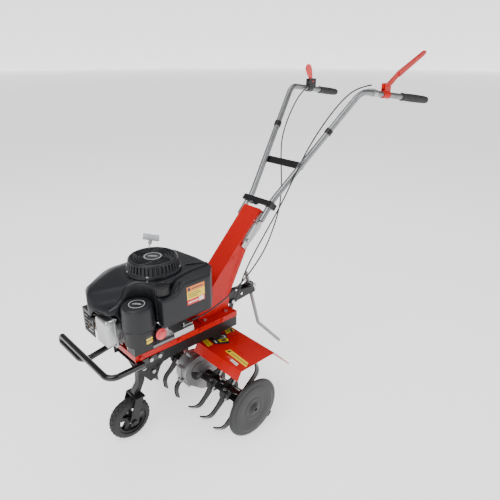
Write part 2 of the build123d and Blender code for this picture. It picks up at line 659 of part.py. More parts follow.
filler = disc(-88, -120, 372, 420, 12, 9) + block((-90, -128, deck_height + 10), (-60, -112, 384))
filler -= crankcase
filler -= disc(-88, -120, 372, 421, 9)
oil_cap = disc(-88, -120, 376, 420, 8.6) + disc(-88, -120, 420.5, 434, 15)
parts["crankcase"] += filler
parts["oil_cap"] = oil_cap

# ---- column and handlebar -----------------------------------------------------------------------
column_front = [(-40, deck_height), (-31, 406), (29, 475), (259, 712)]
column_rear = [(283, 690), (205, 598), (106, 418), (98, deck_height)]
column = side_plate(column_front + column_rear, -column_half, 2 * column_half)
step = 0.75 * column_sheet
core_front = [(y + step, z - step) for y, z in column_front]
core_front = [(core_front[0][0], deck_height - 1)] + core_front[1:3] + [(259 + 40 + step, 712 + 41 - step)]
core_rear = [(360, 700), (260, 560), (150, 400), (150, deck_height - 1)]
core = side_plate(core_front + core_rear, -column_half + column_sheet, 2 * (column_half - column_sheet))
column -= core
foot = block((column_half - column_sheet, -40, deck_height), (column_half + 24, 98, deck_height + column_sheet))
column += foot
column += mirrored(foot)
foot_bolts = [bolt((54, y, deck_height + column_sheet), (0, 0, 1), column_sheet + deck_sheet) for y in (-20, 76)]
foot_bolts = foot_bolts + [mirrored(one) for one in foot_bolts]
column -= foot_bolts
parts["chassis_deck"] -= foot_bolts


def about_pivot(piece, angle):
    """A piece turned about the handlebar's pivot bolt."""
    return Pos(0, *pivot_place) * Rot(angle, 0, 0) * Pos(0, -pivot_place[0], -pivot_place[1]) * piece


rise = 46.8
slot_spot = (
    pivot_place[0] + slot_reach * cos(radians(rise)),
    pivot_place[1] + slot_reach * sin(radians(rise)),
)
slot_cuts = [
    about_pivot(rod((30, *slot_spot), (60, *slot_spot), bolt_radius + 0.5), angle)
    for angle in range(-int(handle_down) - 1, int(handle_up) + 2)
]
pivot_hole = rod((30, *pivot_place), (60, *pivot_place), bolt_radius + running)
slot_plate = side_plate(
    [(170, 606), (196, 584), (262, 640), (276, 672), (250, 690), (186, 628)], column_half, deck_sheet
)
for cut in slot_cuts + [pivot_hole]:
    slot_plate -= cut
    column -= [cut, mirrored(cut)]
parts["column"] = column
parts["slot_plates"] = pair(slot_plate)

lower_end = (bar_place, 172.0, 589.0)
knee = (bar_place, 312.0, 738.0)
top_bend = (171.0, 641.0, 1103.0)
bar_end = (229.0, 1006.0, 1052.0)
arm_low = column_half + deck_sheet + gap
arm_steel = 5.0
arm_way = Vector(0, knee[1] - lower_end[1], knee[2] - lower_end[2]).normalized()
arm_side = Vector(0, -arm_way.Z, arm_way.Y) * (bar_radius + 1)


def arm_corner(reach, side):
    """A corner of the flat strip that carries the tube, as (y, z)."""
    spot = Vector(*lower_end) + arm_way * reach + arm_side * side
    return (spot.Y, spot.Z)


tube_start = tuple(Vector(*lower_end) + arm_way * 112)
bar = bent_tube([tube_start, knee, top_bend, bar_end], [90, 62], bar_radius, bar_radius - bar_wall)
bar += side_plate([arm_corner(-4, -1), arm_corner(-4, 1), arm_corner(140, 1), arm_corner(140, -1)], arm_low, arm_steel)


def bar_point(start, end, share):
    return tuple(start[i] + (end[i] - start[i]) * share for i in range(3))


bar_bolts = []
for spot in (pivot_place, slot_spot):
    shank = rod((column_half - 10, *spot), (arm_low + arm_steel + 1, *spot), bolt_radius)
    head = extrude(Plane.YZ.offset(arm_low + arm_steel) * Pos(*spot) * RegularPolygon(8, 6), amount=6)
    nut = extrude(Plane.YZ.offset(column_half - column_sheet - 8) * Pos(*spot) * RegularPolygon(7, 6), amount=7)
    bar_bolts.append(shank + head + nut)
bar -= bar_bolts
parts["handlebar"] = pair(bar)
parts["handlebar_bolts"] = group(side for one in bar_bolts for side in (one, mirrored(one)))

yoke_middle = bar_point(lower_end, knee, 0.88)
yoke_plane = Plane(origin=(0, *yoke_middle[1:]), x_dir=(1, 0, 0), z_dir=(0, knee[1] - lower_end[1], knee[2] - lower_end[2]))
yoke = yoke_plane * Box(2 * bar_place + 34, 34, 22)
yoke -= yoke_plane * Pos(0, 6, 0) * Box(2 * bar_place - 32, 34, 23)
yoke += yoke_plane * Pos(0, -14, -6) * Rot(90, 0, 0) * Cylinder(14, 6)
yoke -= yoke_plane * Pos(bar_place, 0, 0) * Cylinder(bar_radius, 40)
yoke -= yoke_plane * Pos(-bar_place, 0, 0) * Cylinder(bar_radius, 40)

cross_spot = bar_point(knee, top_bend, 0.325)
bar_run = Vector(*top_bend) - Vector(*knee)
cross_plane = Plane(origin=(0, *cross_spot[1:]), x_dir=(1, 0, 0), z_dir=(0, bar_run.Y, bar_run.Z))
cross = cross_plane * Pos(0, bar_radius + 2.6, 0) * Box(2 * cross_spot[0] + 2, 4, 28)
parts["handlebar_crosspieces"] = group([yoke, cross])


def clamp(point_from, point_to, share, length, wall):
    """A sleeve round the handlebar tube."""
    start = Vector(*bar_point(point_from, point_to, share))
    way = (Vector(*point_to) - Vector(*point_from)).normalized()
    return rod(tuple(start), tuple(start + way * length), bar_radius + wall, bar_radius)


clips = [clamp(knee, top_bend, 0.61, 19, 3)]

grip = clamp(top_bend, bar_end, 0.60, 150, 4.2)
grip_cap_start = Vector(*bar_end)
grip_way = (Vector(*bar_end) - Vector(*top_bend)).normalized()
grip += rod(tuple(grip_cap_start), tuple(grip_cap_start + grip_way * 4), bar_radius + 4.2)
parts["grips"] = pair(grip)

lever_pivot = (186.0, 776.0, 1116.0)
lever_bracket = clamp(top_bend, bar_end, 0.30, 34, 3)
cheeks = block((lever_pivot[0] - 9, 758, 1090), (lever_pivot[0] - 5, 796, 1126))
cheeks += block((lever_pivot[0] + 5, 758, 1090), (lever_pivot[0] + 9, 796, 1126))
cheeks += block((lever_pivot[0] - 9, 758, 1088), (lever_pivot[0] + 14, 796, 1092))
bar_core = clamp(top_bend, bar_end, 0.20, 90, 0.01) + rod(bar_point(top_bend, bar_end, 0.2), bar_point(top_bend, bar_end, 0.5), bar_radius)
lever_bracket += cheeks - bar_core
lever_pin = rod((lever_pivot[0] - 12, *lever_pivot[1:]), (lever_pivot[0] + 12, *lever_pivot[1:]), 3)
lever_bracket -= rod((lever_pivot[0] - 13, *lever_pivot[1:]), (lever_pivot[0] + 13, *lever_pivot[1:]), 3 + running)
parts["lever_bracket"] = lever_bracket
lever_side = [(752, 1108), (790, 1106), (846, 1142), (1018, 1218), (1032, 1229), (1028, 1237), (840, 1160), (786, 1126), (756, 1124)]
lever = side_plate(lever_side, lever_pivot[0] - 4, 8)
handle_side = [(852, 1145), (1018, 1218), (1032, 1229), (1028, 1237), (848, 1163)]
lever += side_plate(handle_side, lever_pivot[0] - 7, 14)
lever = lever + lever_pin
parts["clutch_lever"] = lever

throttle_pivot = (-186.0, 779.0, 1113.0)
throttle_box = mirrored(clamp(top_bend, bar_end, 0.31, 36, 3))
throttle_case = block((-198, 760, 1086), (-176, 800, 1124))
bar_core = mirrored(bar_core)
throttle_box += throttle_case - bar_core
throttle_box -= rod((-190, *throttle_pivot[1:]), (-182, *throttle_pivot[1:]), 13)
throttle_box -= block((-190, 745, 1113), (-182, 815, 1130))
throttle_box -= rod((-199, *throttle_pivot[1:]), (-175, *throttle_pivot[1:]), 3 + running)
parts["throttle_housing"] = throttle_box
paddle_line = [(772, 1114), (784, 1114), (783, 1136), (780, 1160), (772, 1177), (758, 1184), (745, 1179), (741, 1164)]
paddle_line += [(750, 1144), (764, 1128)]
paddle = side_plate(paddle_line, -189, 6)
paddle += rod((-189, *throttle_pivot[1:]), (-183, *throttle_pivot[1:]), 12)
paddle += rod((-200, *throttle_pivot[1:]), (-174, *throttle_pivot[1:]), 3)
parts["throttle_lever"] = paddle

stop_start = bar_point(top_bend, bar_end, 0.16)
cable_stop = clamp(top_bend, bar_end, 0.16, 20, 2)
stop_leaf = block(
    (stop_start[0] - 24, stop_start[1] - 2, stop_start[2] + 11.5),
    (stop_start[0] + 4, stop_start[1] + 16, stop_start[2] + 14.5),
)
cable_stop = cable_stop + stop_leaf - mirrored(bar_core)
parts["cable_fittings"] = group([clips[0], mirrored(clips[0]), cable_stop])

# ---- rear hitch and depth spur ------------------------------------------------------------------
spur_top = (0.0, 227.0, 451.0)
spur_knee = (0.0, 293.0, 200.0)
spur_tip = (0.0, 423.0, 55.0)
spur_way = (Vector(*spur_knee) - Vector(*spur_top)).normalized()
sleeve_middle = Vector(*spur_top) + spur_way * 72
sleeve_plane = Plane(origin=sleeve_middle, x_dir=(1, 0, 0), z_dir=spur_way)
sleeve = sleeve_plane * Box(2 * spur_sleeve, 2 * spur_sleeve, 44)
hitch_line = [(96, 400), (124, 402), (236, 394), (246, 366), (134, 354), (112, 366), (96, 366)]
hitch_cheek = side_plate(hitch_line, spur_sleeve, 4)
hitch = sleeve + hitch_cheek
hitch += mirrored(hitch_cheek)
hitch += block((-spur_sleeve, 96, 366), (spur_sleeve, 124, 372))
hitch -= sleeve_plane * Cylinder(spur_radius + 0.3, 60)
hitch_hole_radius = 6.0
hitch -= rod((-30, 190, 378), (30, 190, 378), hitch_hole_radius)
spur = bent_tube([spur_top, spur_knee, spur_tip], [40], spur_radius)
clip_height = Vector(*spur_top) + spur_way * 46.6
spur_clip = rod((-16, clip_height.Y, clip_height.Z), (34, clip_height.Y, clip_height.Z), 3)
spur_clip += rod((34, clip_height.Y, clip_height.Z), (37, clip_height.Y, clip_height.Z), 8)
spur -= rod((-12, clip_height.Y, clip_height.Z), (12, clip_height.Y, clip_height.Z), 3 + running)
parts["depth_spur"] = spur
parts["spur_pin"] = spur_clip
strut = side_plate([(130, 374), (152, 374), (132, 312), (114, 306), (113, 326)], spur_sleeve + 4, 3)
strut_bolts = [bolt((spur_sleeve + 7, 138, 366), (1, 0, 0), 7), bolt((spur_sleeve + 7, 121, 318), (1, 0, 0), 3)]
parts["hitch_bracket"] = group([hitch - strut_bolts, strut - strut_bolts])

# ---- control cables -----------------------------------------------------------------------------
cable_radius = 2.6
throttle_route = [
    (-172.0, 742.0, 1094.0),
    (-160.0, 684.0, 1072.0),
    (-140.0, 622.0, 1030.0),
    (-118.0, 560.0, 976.0),
    (-98.0, 512.0, 916.0),
    (-68.0, 478.0, 862.0),
    (-34.0, 446.0, 812.0),
    (2.0, 412.0, 754.0),
    (36.0, 370.0, 698.0),
    (62.0, 316.0, 642.0),
    (82.0, 256.0, 580.0),
    (96.0, 192.0, 534.0),
    (108.0, 122.0, 498.0),
    (116.0, 50.0, 468.0),
    (119.0, -22.0, 446.0),
    (116.0, -84.0, 432.0),
    (112.0, -116.0, 430.5),
]
clutch_route = [
    (168.0, 706.0, 1122.0),
    (158.0, 662.0, 1118.0),
    (146.0, 604.0, 1098.0),
    (132.0, 546.0, 1050.0),
    (118.0, 486.0, 984.0),
    (106.0, 430.0, 910.0),
    (96.0, 384.0, 830.0),
    (88.0, 344.0, 756.0),
    (82.0, 296.0, 686.0),
    (76.0, 246.0, 620.0),
    (72.0, 196.0, 556.0),
    (68.0, 154.0, 490.0),
    (66.0, 130.0, 430.0),
    (66.0, 116.0, 390.0),
]


def cable(name, points):
    """A cable along its route, with each bend as large as its two runs allow."""
    spots = [Vector(*point) for point in points]
    bends = []
    for before, here, after in zip(spots, spots[1:], spots[2:]):
        turn = (here - before).get_angle(after - here)
        run = min((here - before).length, (after - here).length)
        bends.append(0.45 * run / sin(radians(turn / 2)) * cos(radians(turn / 2)))
    solid = bent_tube(points, bends, cable_radius)
    path = FilletPolyline(*points, radius=bends)
    print(name, "length", round(path.length), "radii", [round(bend) for bend in bends])
    print(name, "volume", round(solid.volume), "section x length", round(3.14159 * cable_radius**2 * path.length))
    return solid


parts["throttle_cable"] = cable("throttle_cable", throttle_route)
parts["clutch_cable"] = cable("clutch_cable", clutch_route)
cords = ("throttle_cable", "clutch_cable")

# ---- tidy the contacts that are cut by their neighbours, centre on Y and write --------------------
rails = [piece - parts["gearbox_left"] for piece in rails]
parts["chassis_rails"] = group(rails)
frame_bolts = deck_bolts + engine_bolts + foot_bolts + fender_bolts + strut_bolts + case_bolts
parts["frame_bolts"] = group(frame_bolts + [leg_bolt, stop_bolt, idler_stud])
boxes = [piece.bounding_box() for name, piece in parts.items() if name not in cords]
middle = (min(box.min.Y for box in boxes) + max(box.max.Y for box in boxes)) / 2
print("centre moved by", round(-middle, 3), "nodes", len(parts))
for name, piece in parts.items():
    export_step(Pos(0, -middle, 0) * piece, f"parts/{name}.step")
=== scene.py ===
import json
import math

import bmesh
import bpy
import numpy as np
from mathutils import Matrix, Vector


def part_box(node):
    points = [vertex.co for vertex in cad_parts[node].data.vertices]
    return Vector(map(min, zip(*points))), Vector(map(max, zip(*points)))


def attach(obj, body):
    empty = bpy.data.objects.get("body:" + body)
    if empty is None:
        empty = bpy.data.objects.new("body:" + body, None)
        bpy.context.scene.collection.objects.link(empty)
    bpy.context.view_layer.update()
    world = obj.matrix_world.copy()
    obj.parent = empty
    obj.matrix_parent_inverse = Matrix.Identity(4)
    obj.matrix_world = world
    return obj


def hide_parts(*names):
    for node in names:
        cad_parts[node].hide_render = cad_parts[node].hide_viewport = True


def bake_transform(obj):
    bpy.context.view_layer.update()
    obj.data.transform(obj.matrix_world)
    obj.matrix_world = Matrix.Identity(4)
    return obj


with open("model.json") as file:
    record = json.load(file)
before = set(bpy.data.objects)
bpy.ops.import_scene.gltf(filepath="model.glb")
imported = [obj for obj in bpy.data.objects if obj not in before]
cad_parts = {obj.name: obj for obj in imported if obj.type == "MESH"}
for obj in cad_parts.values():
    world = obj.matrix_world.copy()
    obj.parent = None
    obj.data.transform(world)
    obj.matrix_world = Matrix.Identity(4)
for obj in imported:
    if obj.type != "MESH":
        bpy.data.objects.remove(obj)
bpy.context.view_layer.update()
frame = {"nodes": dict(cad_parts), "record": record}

# ---- studio --------------------------------------------------------------------------------------
# A plain pale floor with a low pale wall far round it, under three large soft lamps and a weak low one.
# The camera stands at chest height by the machine's front left corner, looking down at the engine.
shaft_low, shaft_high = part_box("tine_shaft")
axle_y = (shaft_low.y + shaft_high.y) / 2


def spot(x, y, z):
    """A point of the machine, given in millimetres from the ground below the tine shaft, in the frame."""
    return Vector((x / 1000, y / 1000 + axle_y, z / 1000))


def look_at(item, eye, target):
    """Stands a lamp or camera at eye and points it at target."""
    item.location = eye
    item.rotation_mode = "QUATERNION"
    item.rotation_quaternion = (Vector(target) - Vector(eye)).to_track_quat("-Z", "Y")


camera_data = bpy.data.cameras.new("camera")
camera_data.sensor_width = 36.0
camera_data.lens = 35.06
camera = bpy.data.objects.new("camera", camera_data)
bpy.context.collection.objects.link(camera)
azimuth, pitch = math.radians(47.10), math.radians(23.26)
eye = spot(1251.0, -914.5, 1272.7)
level = math.cos(pitch)
ahead = Vector((-math.sin(azimuth) * level, math.cos(azimuth) * level, -math.sin(pitch)))
look_at(camera, eye, eye + ahead)
bpy.context.scene.camera = camera

for lamp_name, place, size, power in (
    ("key", (0.4, -2.2, 3.6), 2.4, 95),
    ("fill", (3.2, 0.6, 2.6), 2.0, 40),
    ("top", (-1.2, 0.6, 4.0), 2.6, 50),
    ("low", (1.4, -3.0, 0.5), 1.6, 12),
):
    lamp_data = bpy.data.lights.new(lamp_name, "AREA")
    lamp_data.size = size
    lamp_data.energy = power
    lamp = bpy.data.objects.new(lamp_name, lamp_data)
    bpy.context.collection.objects.link(lamp)
    look_at(lamp, place, (0.0, -0.2, 0.4))

world = bpy.data.worlds.new("studio")
world.use_nodes = True
world.node_tree.nodes["Background"].inputs["Color"].default_value = (0.98, 0.985, 1.0, 1)
world.node_tree.nodes["Background"].inputs["Strength"].default_value = 0.3
bpy.context.scene.world = world


class Signal:
    """A socket in a finish's nodes. Arithmetic on signals and numbers adds Math nodes."""

    def __init__(self, finish, socket):
        self.finish = finish
        self.socket = socket

    def math(self, operation, first, second=0.5):
        return self.finish.node("ShaderNodeMath", {"operation": operation}, {0: first, 1: second})

    def __add__(self, other):
        return self.math("ADD", self, other)

    def __sub__(self, other):
        return self.math("SUBTRACT", self, other)

    def __rsub__(self, other):
        return self.math("SUBTRACT", other, self)

    def __mul__(self, other):
        return self.math("MULTIPLY", self, other)

    def __truediv__(self, other):
        return self.math("DIVIDE", self, other)

    def __rtruediv__(self, other):
        return self.math("DIVIDE", other, self)

    def __pow__(self, other):
        return self.math("POWER", self, other)

    __radd__ = __add__
    __rmul__ = __mul__

    def between(self, low, high):
        """One where the signal lies between two levels, and nought elsewhere."""
        return self.math("GREATER_THAN", self, low) * self.math("LESS_THAN", self, high)

    def held(self):
        """The signal kept between 0 and 1."""
        return self.finish.node("ShaderNodeClamp", {}, {0: self})


class Finish:
    """A surface finish: one shader, and the nodes that vary it over the surface."""

    def __init__(self, name, colour, roughness, metallic=0.0, coat=0.0, specular=0.5):
        self.material = bpy.data.materials.new(name)
        self.material.use_nodes = True
        self.tree = self.material.node_tree
        self.shader = self.tree.nodes["Principled BSDF"]
        self.shader.inputs["Base Color"].default_value = (*colour, 1)
        self.shader.inputs["Roughness"].default_value = roughness
        self.shader.inputs["Metallic"].default_value = metallic
        self.shader.inputs["Coat Weight"].default_value = coat
        self.shader.inputs["Coat Roughness"].default_value = 0.08
        self.shader.inputs["Specular IOR Level"].default_value = specular
        self.place = self.node("ShaderNodeTexCoord", {}, {}, "Object")

    def node(self, kind, settings, inputs, output=0):
        """A node of a kind: its settings first, a ramp's stops among them, then its sockets."""
        made = self.tree.nodes.new(kind)
        for name, value in settings.items():
            if name == "stops":
                for stop in value[1:-1]:
                    made.color_ramp.elements.new(stop[0])
                for element, stop in zip(made.color_ramp.elements, value):
                    element.position = stop[0]
                    element.color = (*stop[1], 1)
            else:
                setattr(made, name, value)
        for name, value in inputs.items():
            if isinstance(value, Signal):
                self.tree.links.new(value.socket, made.inputs[name])
            else:
                made.inputs[name].default_value = value
        return Signal(self, made.outputs[output])

    def noise(self, scale, detail=3.0, stretch=(1, 1, 1)):
        place = self.node("ShaderNodeMapping", {}, {"Vector": self.place, "Scale": stretch})
        return self.node("ShaderNodeTexNoise", {}, {"Vector": place, "Scale": scale, "Detail": detail})

    def part_of_place(self, axis):
        return self.node("ShaderNodeSeparateXYZ", {}, {0: self.place}, axis)

    def mixed(self, share, first, second):
        """A colour between two colours."""
        pair = [(*one, 1) if isinstance(one, tuple) else one for one in (first, second)]
        return self.node("ShaderNodeMix", {"data_type": "RGBA"}, {0: share, 6: pair[0], 7: pair[1]}, 2)

    def feed(self, name, signal):
        self.tree.links.new(signal.socket, self.shader.inputs[name])

    def bump(self, height, strength, depth):
        inputs = {"Height": height, "Strength": strength, "Distance": depth}
        normal = self.node("ShaderNodeBump", {}, inputs)
        self.feed("Normal", normal)


floor_finish = Finish("studio_floor", (0.93, 0.93, 0.93), 0.7, specular=0.1)
floor_finish.shader.inputs["Emission Color"].default_value = (1, 1, 1, 1)
floor_finish.shader.inputs["Emission Strength"].default_value = 1.1
floor_tone = floor_finish.noise(1.5, 2.0)
floor_finish.feed("Base Color", floor_finish.mixed(floor_tone, (0.92, 0.92, 0.92), (0.95, 0.95, 0.95)))
floor_mesh = bpy.data.meshes.new("floor")
studio_reach, wall_height, sides = 25.0, 3.6, 48
studio_turn = np.linspace(0, 2 * np.pi, sides, endpoint=False)
studio_ring = np.stack([np.cos(studio_turn), np.sin(studio_turn), 0 * studio_turn], axis=1) * studio_reach
studio_points = np.vstack([studio_ring, studio_ring + (0, 0, wall_height)])
studio_walls = [(n, (n + 1) % sides, sides + (n + 1) % sides, sides + n) for n in range(sides)]
floor_mesh.from_pydata(studio_points.tolist(), [], [tuple(range(sides))] + studio_walls)
floor_mesh.materials.append(floor_finish.material)
floor = bpy.data.objects.new("floor", floor_mesh)
bpy.context.collection.objects.link(floor)

# ---- red sheet steel: deck, column, fenders, lever and its bracket -------------------------------
# Pressed and folded mild steel, two and a half millimetres thick, sprayed with a gloss red enamel
# that is baked on. The film is a little uneven, and thins to a duller coat in the folds.
body_of = {node: body for body, nodes in frame["record"]["behaviour"]["bodies"].items() for node in nodes}


def add_piece(name, mesh, finish, like, replaced=(), smooth=32.0, body=None):
    """Puts a mesh in the scene with its finish, on a node's body, and smooth across edges below an angle."""
    mesh.materials.clear()
    mesh.materials.append(finish.material)
    mesh.shade_smooth()
    mesh.set_sharp_from_angle(angle=math.radians(smooth))
    made = bpy.data.objects.new(name, mesh)
    bpy.context.collection.objects.link(made)
    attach(made, body or body_of[like])
    if replaced:
        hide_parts(*replaced)
    return made


def dressed(node, finish, edge=0.5, smooth=32.0, second=None, where=None):
    """A node's own shape with its triangles welded, round walls shaded smooth and sharp edges broken.

    A second finish goes where a test of the faces' middles, in the machine's millimetres, is true.
    """
    mesh = frame["nodes"][node].data.copy()
    mesh.transform(frame["nodes"][node].matrix_world)
    work = bmesh.new()
    work.from_mesh(mesh)
    bmesh.ops.remove_doubles(work, verts=work.verts, dist=2e-6)
    bmesh.ops.dissolve_limit(work, angle_limit=math.radians(0.6), verts=work.verts, edges=work.edges)
    work.to_mesh(mesh)
    work.free()
    made = add_piece(node + "_finished", mesh, finish, node, (node,), smooth)
    if second:
        mesh.materials.append(second.material)
        middles = np.empty(3 * len(mesh.polygons))
        mesh.polygons.foreach_get("center", middles)
        x, y, z = (middles.reshape(-1, 3) * 1000 - [0, axle_y * 1000, 0]).T
        mesh.polygons.foreach_set("material_index", where(x, y, z).astype(np.int32))
    if edge:
        bevel = made.modifiers.new("broken_edges", "BEVEL")
        bevel.width = edge / 1000
        bevel.segments = 2
        bevel.limit_method = "ANGLE"
        bevel.angle_limit = math.radians(38)
        bevel.use_clamp_overlap = True
        bevel.harden_normals = False
    return made


red = Finish("red_enamel", (0.58, 0.008, 0.005), 0.26, coat=0.12, specular=0.2)
film = red.noise(14.0, 3.0)
red.feed("Base Color", red.mixed(film, (0.46, 0.004, 0.003), (0.58, 0.007, 0.004)))
red.feed("Roughness", film * 0.14 + 0.22)
red.bump(red.noise(700.0, 2.0), 0.05, 0.0003)
for node in ("chassis_deck", "column", "fenders", "clutch_lever", "lever_bracket"):
    dressed(node, red, 0.6)

# ---- black powder-coated steel: rails, leg, bracket, yoke, hitch, shield -------------------------
# Laser-cut plate and flat bar under a satin black powder coat, which has a fine pebbled skin.
powder = Finish("black_powder_coat", (0.012, 0.012, 0.013), 0.34, specular=0.35)
pebble = powder.noise(420.0, 2.0)
wear = powder.noise(24.0, 4.0)
powder.feed("Base Color", powder.mixed(wear, (0.006, 0.006, 0.007), (0.013, 0.013, 0.014)))
powder.feed("Roughness", wear * 0.2 + 0.24)
powder.bump(pebble, 0.12, 0.0004)
leg_and_rails = ("chassis_rails", "leg_bracket", "wheel_leg")
for node in leg_and_rails + ("handlebar_crosspieces", "hitch_bracket", "muffler_shield"):
    dressed(node, powder, 0.5)

# ---- front bumper --------------------------------------------------------------------------------
# One length of round tube, bent back on itself at the far end, in gloss black enamel, with a flat
# tab welded on each side where two bolts hold it to the rail.
gloss_black = Finish("gloss_black_enamel", (0.006, 0.006, 0.007), 0.14, coat=0.3, specular=0.4)
gloss_black.feed("Roughness", gloss_black.noise(30.0, 3.0) * 0.14 + 0.1)
dressed("front_bumper", gloss_black, 0.4)

# ---- bolts, plates and pins in bright zinc -------------------------------------------------------
# Hexagon bolts, slotted plates and pins, electroplated with zinc: a bluish silver with cloudy patches.
zinc = Finish("bright_zinc", (0.50, 0.51, 0.53), 0.3, metallic=1.0)
cloud = zinc.noise(160.0, 4.0)
zinc.feed("Base Color", zinc.mixed(cloud, (0.34, 0.35, 0.37), (0.66, 0.66, 0.65)))
zinc.feed("Roughness", cloud * 0.3 + 0.2)
zinc.bump(zinc.noise(900.0, 2.0), 0.08, 0.0002)
screws_and_pins = ("engine_screws", "slot_plates", "handlebar_bolts", "spur_pin", "rotor_fasteners")
for node in screws_and_pins + ("throttle_arm", "carburettor"):
    dressed(node, zinc, 0.3)
deck_side, deck_edge = 77.9, 341
dressed("frame_bolts", zinc, 0.3, second=red, where=lambda x, y, z: (np.abs(x) > deck_side) & (z > deck_edge))
dressed("cable_fittings", zinc, 0.3, second=powder, where=lambda x, y, z: y < 600)

# ---- gearbox and engine castings -----------------------------------------------------------------
# Pressure die-cast aluminium, grey and slightly grainy, machined where two faces meet.
cast = Finish("die_cast_aluminium", (0.42, 0.42, 0.43), 0.5, metallic=0.85)
grain = cast.noise(380.0, 4.0)
soot = cast.noise(18.0, 3.0)
cast.feed("Base Color", cast.mixed(soot, (0.20, 0.20, 0.21), (0.38, 0.38, 0.38)))
cast.feed("Roughness", soot * 0.2 + 0.4)
cast.bump(grain, 0.2, 0.0006)
for node in ("gearbox_right", "cylinder", "flywheel"):
    dressed(node, cast, 0.6)


def on_chamber_boss(x, y, z):
    """True on the round boss on the gearbox's side, whose centre is at y -38, z 142."""
    return (x > 30.2) & (np.hypot(y + 38, z - 142) < 37)


dressed("gearbox_left", cast, 0.6, second=powder, where=on_chamber_boss)
# The crankcase's front corner, its mounting foot, gets a cream copy of the cast finish. This is painted warm
# light on the same bare aluminium, not a different casting.
warm_lit_cast = Finish("cast_with_painted_warm_light", (0.62, 0.56, 0.42), 0.5, metallic=0.3)
warm_lit_cast.feed("Base Color", warm_lit_cast.mixed(warm_lit_cast.noise(40.0), (0.50, 0.45, 0.33), (0.72, 0.67, 0.54)))
dressed("crankcase", cast, 0.6, second=warm_lit_cast, where=lambda x, y, z: (y < -262) & (x > 20))

# ---- turned steel inside -------------------------------------------------------------------------
# Shafts, pulleys, bushes and the idler arm: turned bar with fine rings left by the tool.
turned = Finish("turned_steel", (0.45, 0.45, 0.46), 0.34, metallic=1.0)
rings = turned.noise(60.0, 2.0, (1, 1, 14))
turned.feed("Base Color", turned.mixed(rings, (0.34, 0.34, 0.35), (0.58, 0.58, 0.58)))
turned.feed("Roughness", rings * 0.25 + 0.25)
for node in ("tine_shaft", "worm_shaft", "crankshaft", "gearbox_bushes", "idler_arm"):
    dressed(node, turned, 0.3)

# ---- tines and their hubs ------------------------------------------------------------------------
# Forged sickle blades bolted to flanged tubes, dipped in gloss black paint that soil soon rubs away.
blade_black = Finish("blade_black", (0.008, 0.008, 0.009), 0.26, specular=0.4)
run_marks = blade_black.noise(45.0, 4.0)
blade_black.feed("Base Color", blade_black.mixed(run_marks, (0.005, 0.005, 0.006), (0.014, 0.013, 0.013)))
blade_black.feed("Roughness", run_marks * 0.22 + 0.16)
blade_black.bump(blade_black.noise(180.0, 3.0), 0.12, 0.0006)
for node in ("tines", "tine_hubs"):
    dressed(node, blade_black, 0.7)


# ---- guard discs ---------------------------------------------------------------------------------
# A shallow spun dish of sheet steel at each end of the tine shaft, dark grey, with a rolled rim, two
# pressed steps and a small coned centre round its fixing hole. A collar joins it to the tines' tube.
def skin(name, grid, around=False, along=False):
    """A mesh over a grid of points: a quad between each four neighbours, joined up where it goes round."""
    rows, columns = grid.shape[:2]
    index = np.arange(rows * columns).reshape(rows, columns)
    if along:
        index = np.vstack([index, index[:1]])
    if around:
        index = np.hstack([index, index[:, :1]])
    quads = np.stack([index[:-1, :-1], index[:-1, 1:], index[1:, 1:], index[1:, :-1]], axis=-1)
    mesh = bpy.data.meshes.new(name)
    mesh.from_pydata(grid.reshape(-1, 3).tolist(), [], quads.reshape(-1, 4).tolist())
    work = bmesh.new()
    work.from_mesh(mesh)
    bmesh.ops.remove_doubles(work, verts=work.verts, dist=1e-6)
    bmesh.ops.recalc_face_normals(work, faces=work.faces)
    work.to_mesh(mesh)
    work.free()
    return mesh


def placed(points):
    """Points in the machine's millimetres, moved into the frame."""
    return np.asarray(points, float) / 1000 + np.array([0.0, axle_y, 0.0])


def spun(centre, axis, across, along, radius, turns):
    """A surface of revolution: each row is a circle of its radius, that far along the axis from centre.

    point = centre + axis * along + radius * (across * cos(turn) + (axis x across) * sin(turn))
    """
    axis, across = np.array(axis, float), np.array(across, float)
    other = np.cross(axis, across)
    circle = np.cos(turns)[..., None] * across + np.sin(turns)[..., None] * other
    rings = axis * np.asarray(along)[..., None] + circle * np.asarray(radius)[..., None]
    return np.array(centre, float) + rings


def closed_piece(name, grid, finish, node, smooth=60, replaced=()):
    """A piece from a grid in the machine's millimetres that goes round in its second direction."""
    return add_piece(name, skin(name, placed(grid), around=True), finish, node, replaced, smooth)


def full_turn(sides):
    """The angles of one turn, as a row."""
    return np.linspace(0, 2 * np.pi, sides, endpoint=False)[None, :]


def rounded_line(points, per_run=6, softness=0.3):
    """A profile through a few points, its runs divided and each point averaged with its neighbours."""
    points = np.array(points, float)
    share = np.linspace(0, 1, per_run, endpoint=False)[None, :, None]
    dense = (points[:-1, None] * (1 - share) + points[1:, None] * share).reshape(-1, 2)
    dense = np.vstack([dense, points[-1:]])
    eased = dense.copy()
    eased[1:-1] = dense[1:-1] * (1 - softness) + (dense[:-2] + dense[2:]) / 2 * softness
    return eased


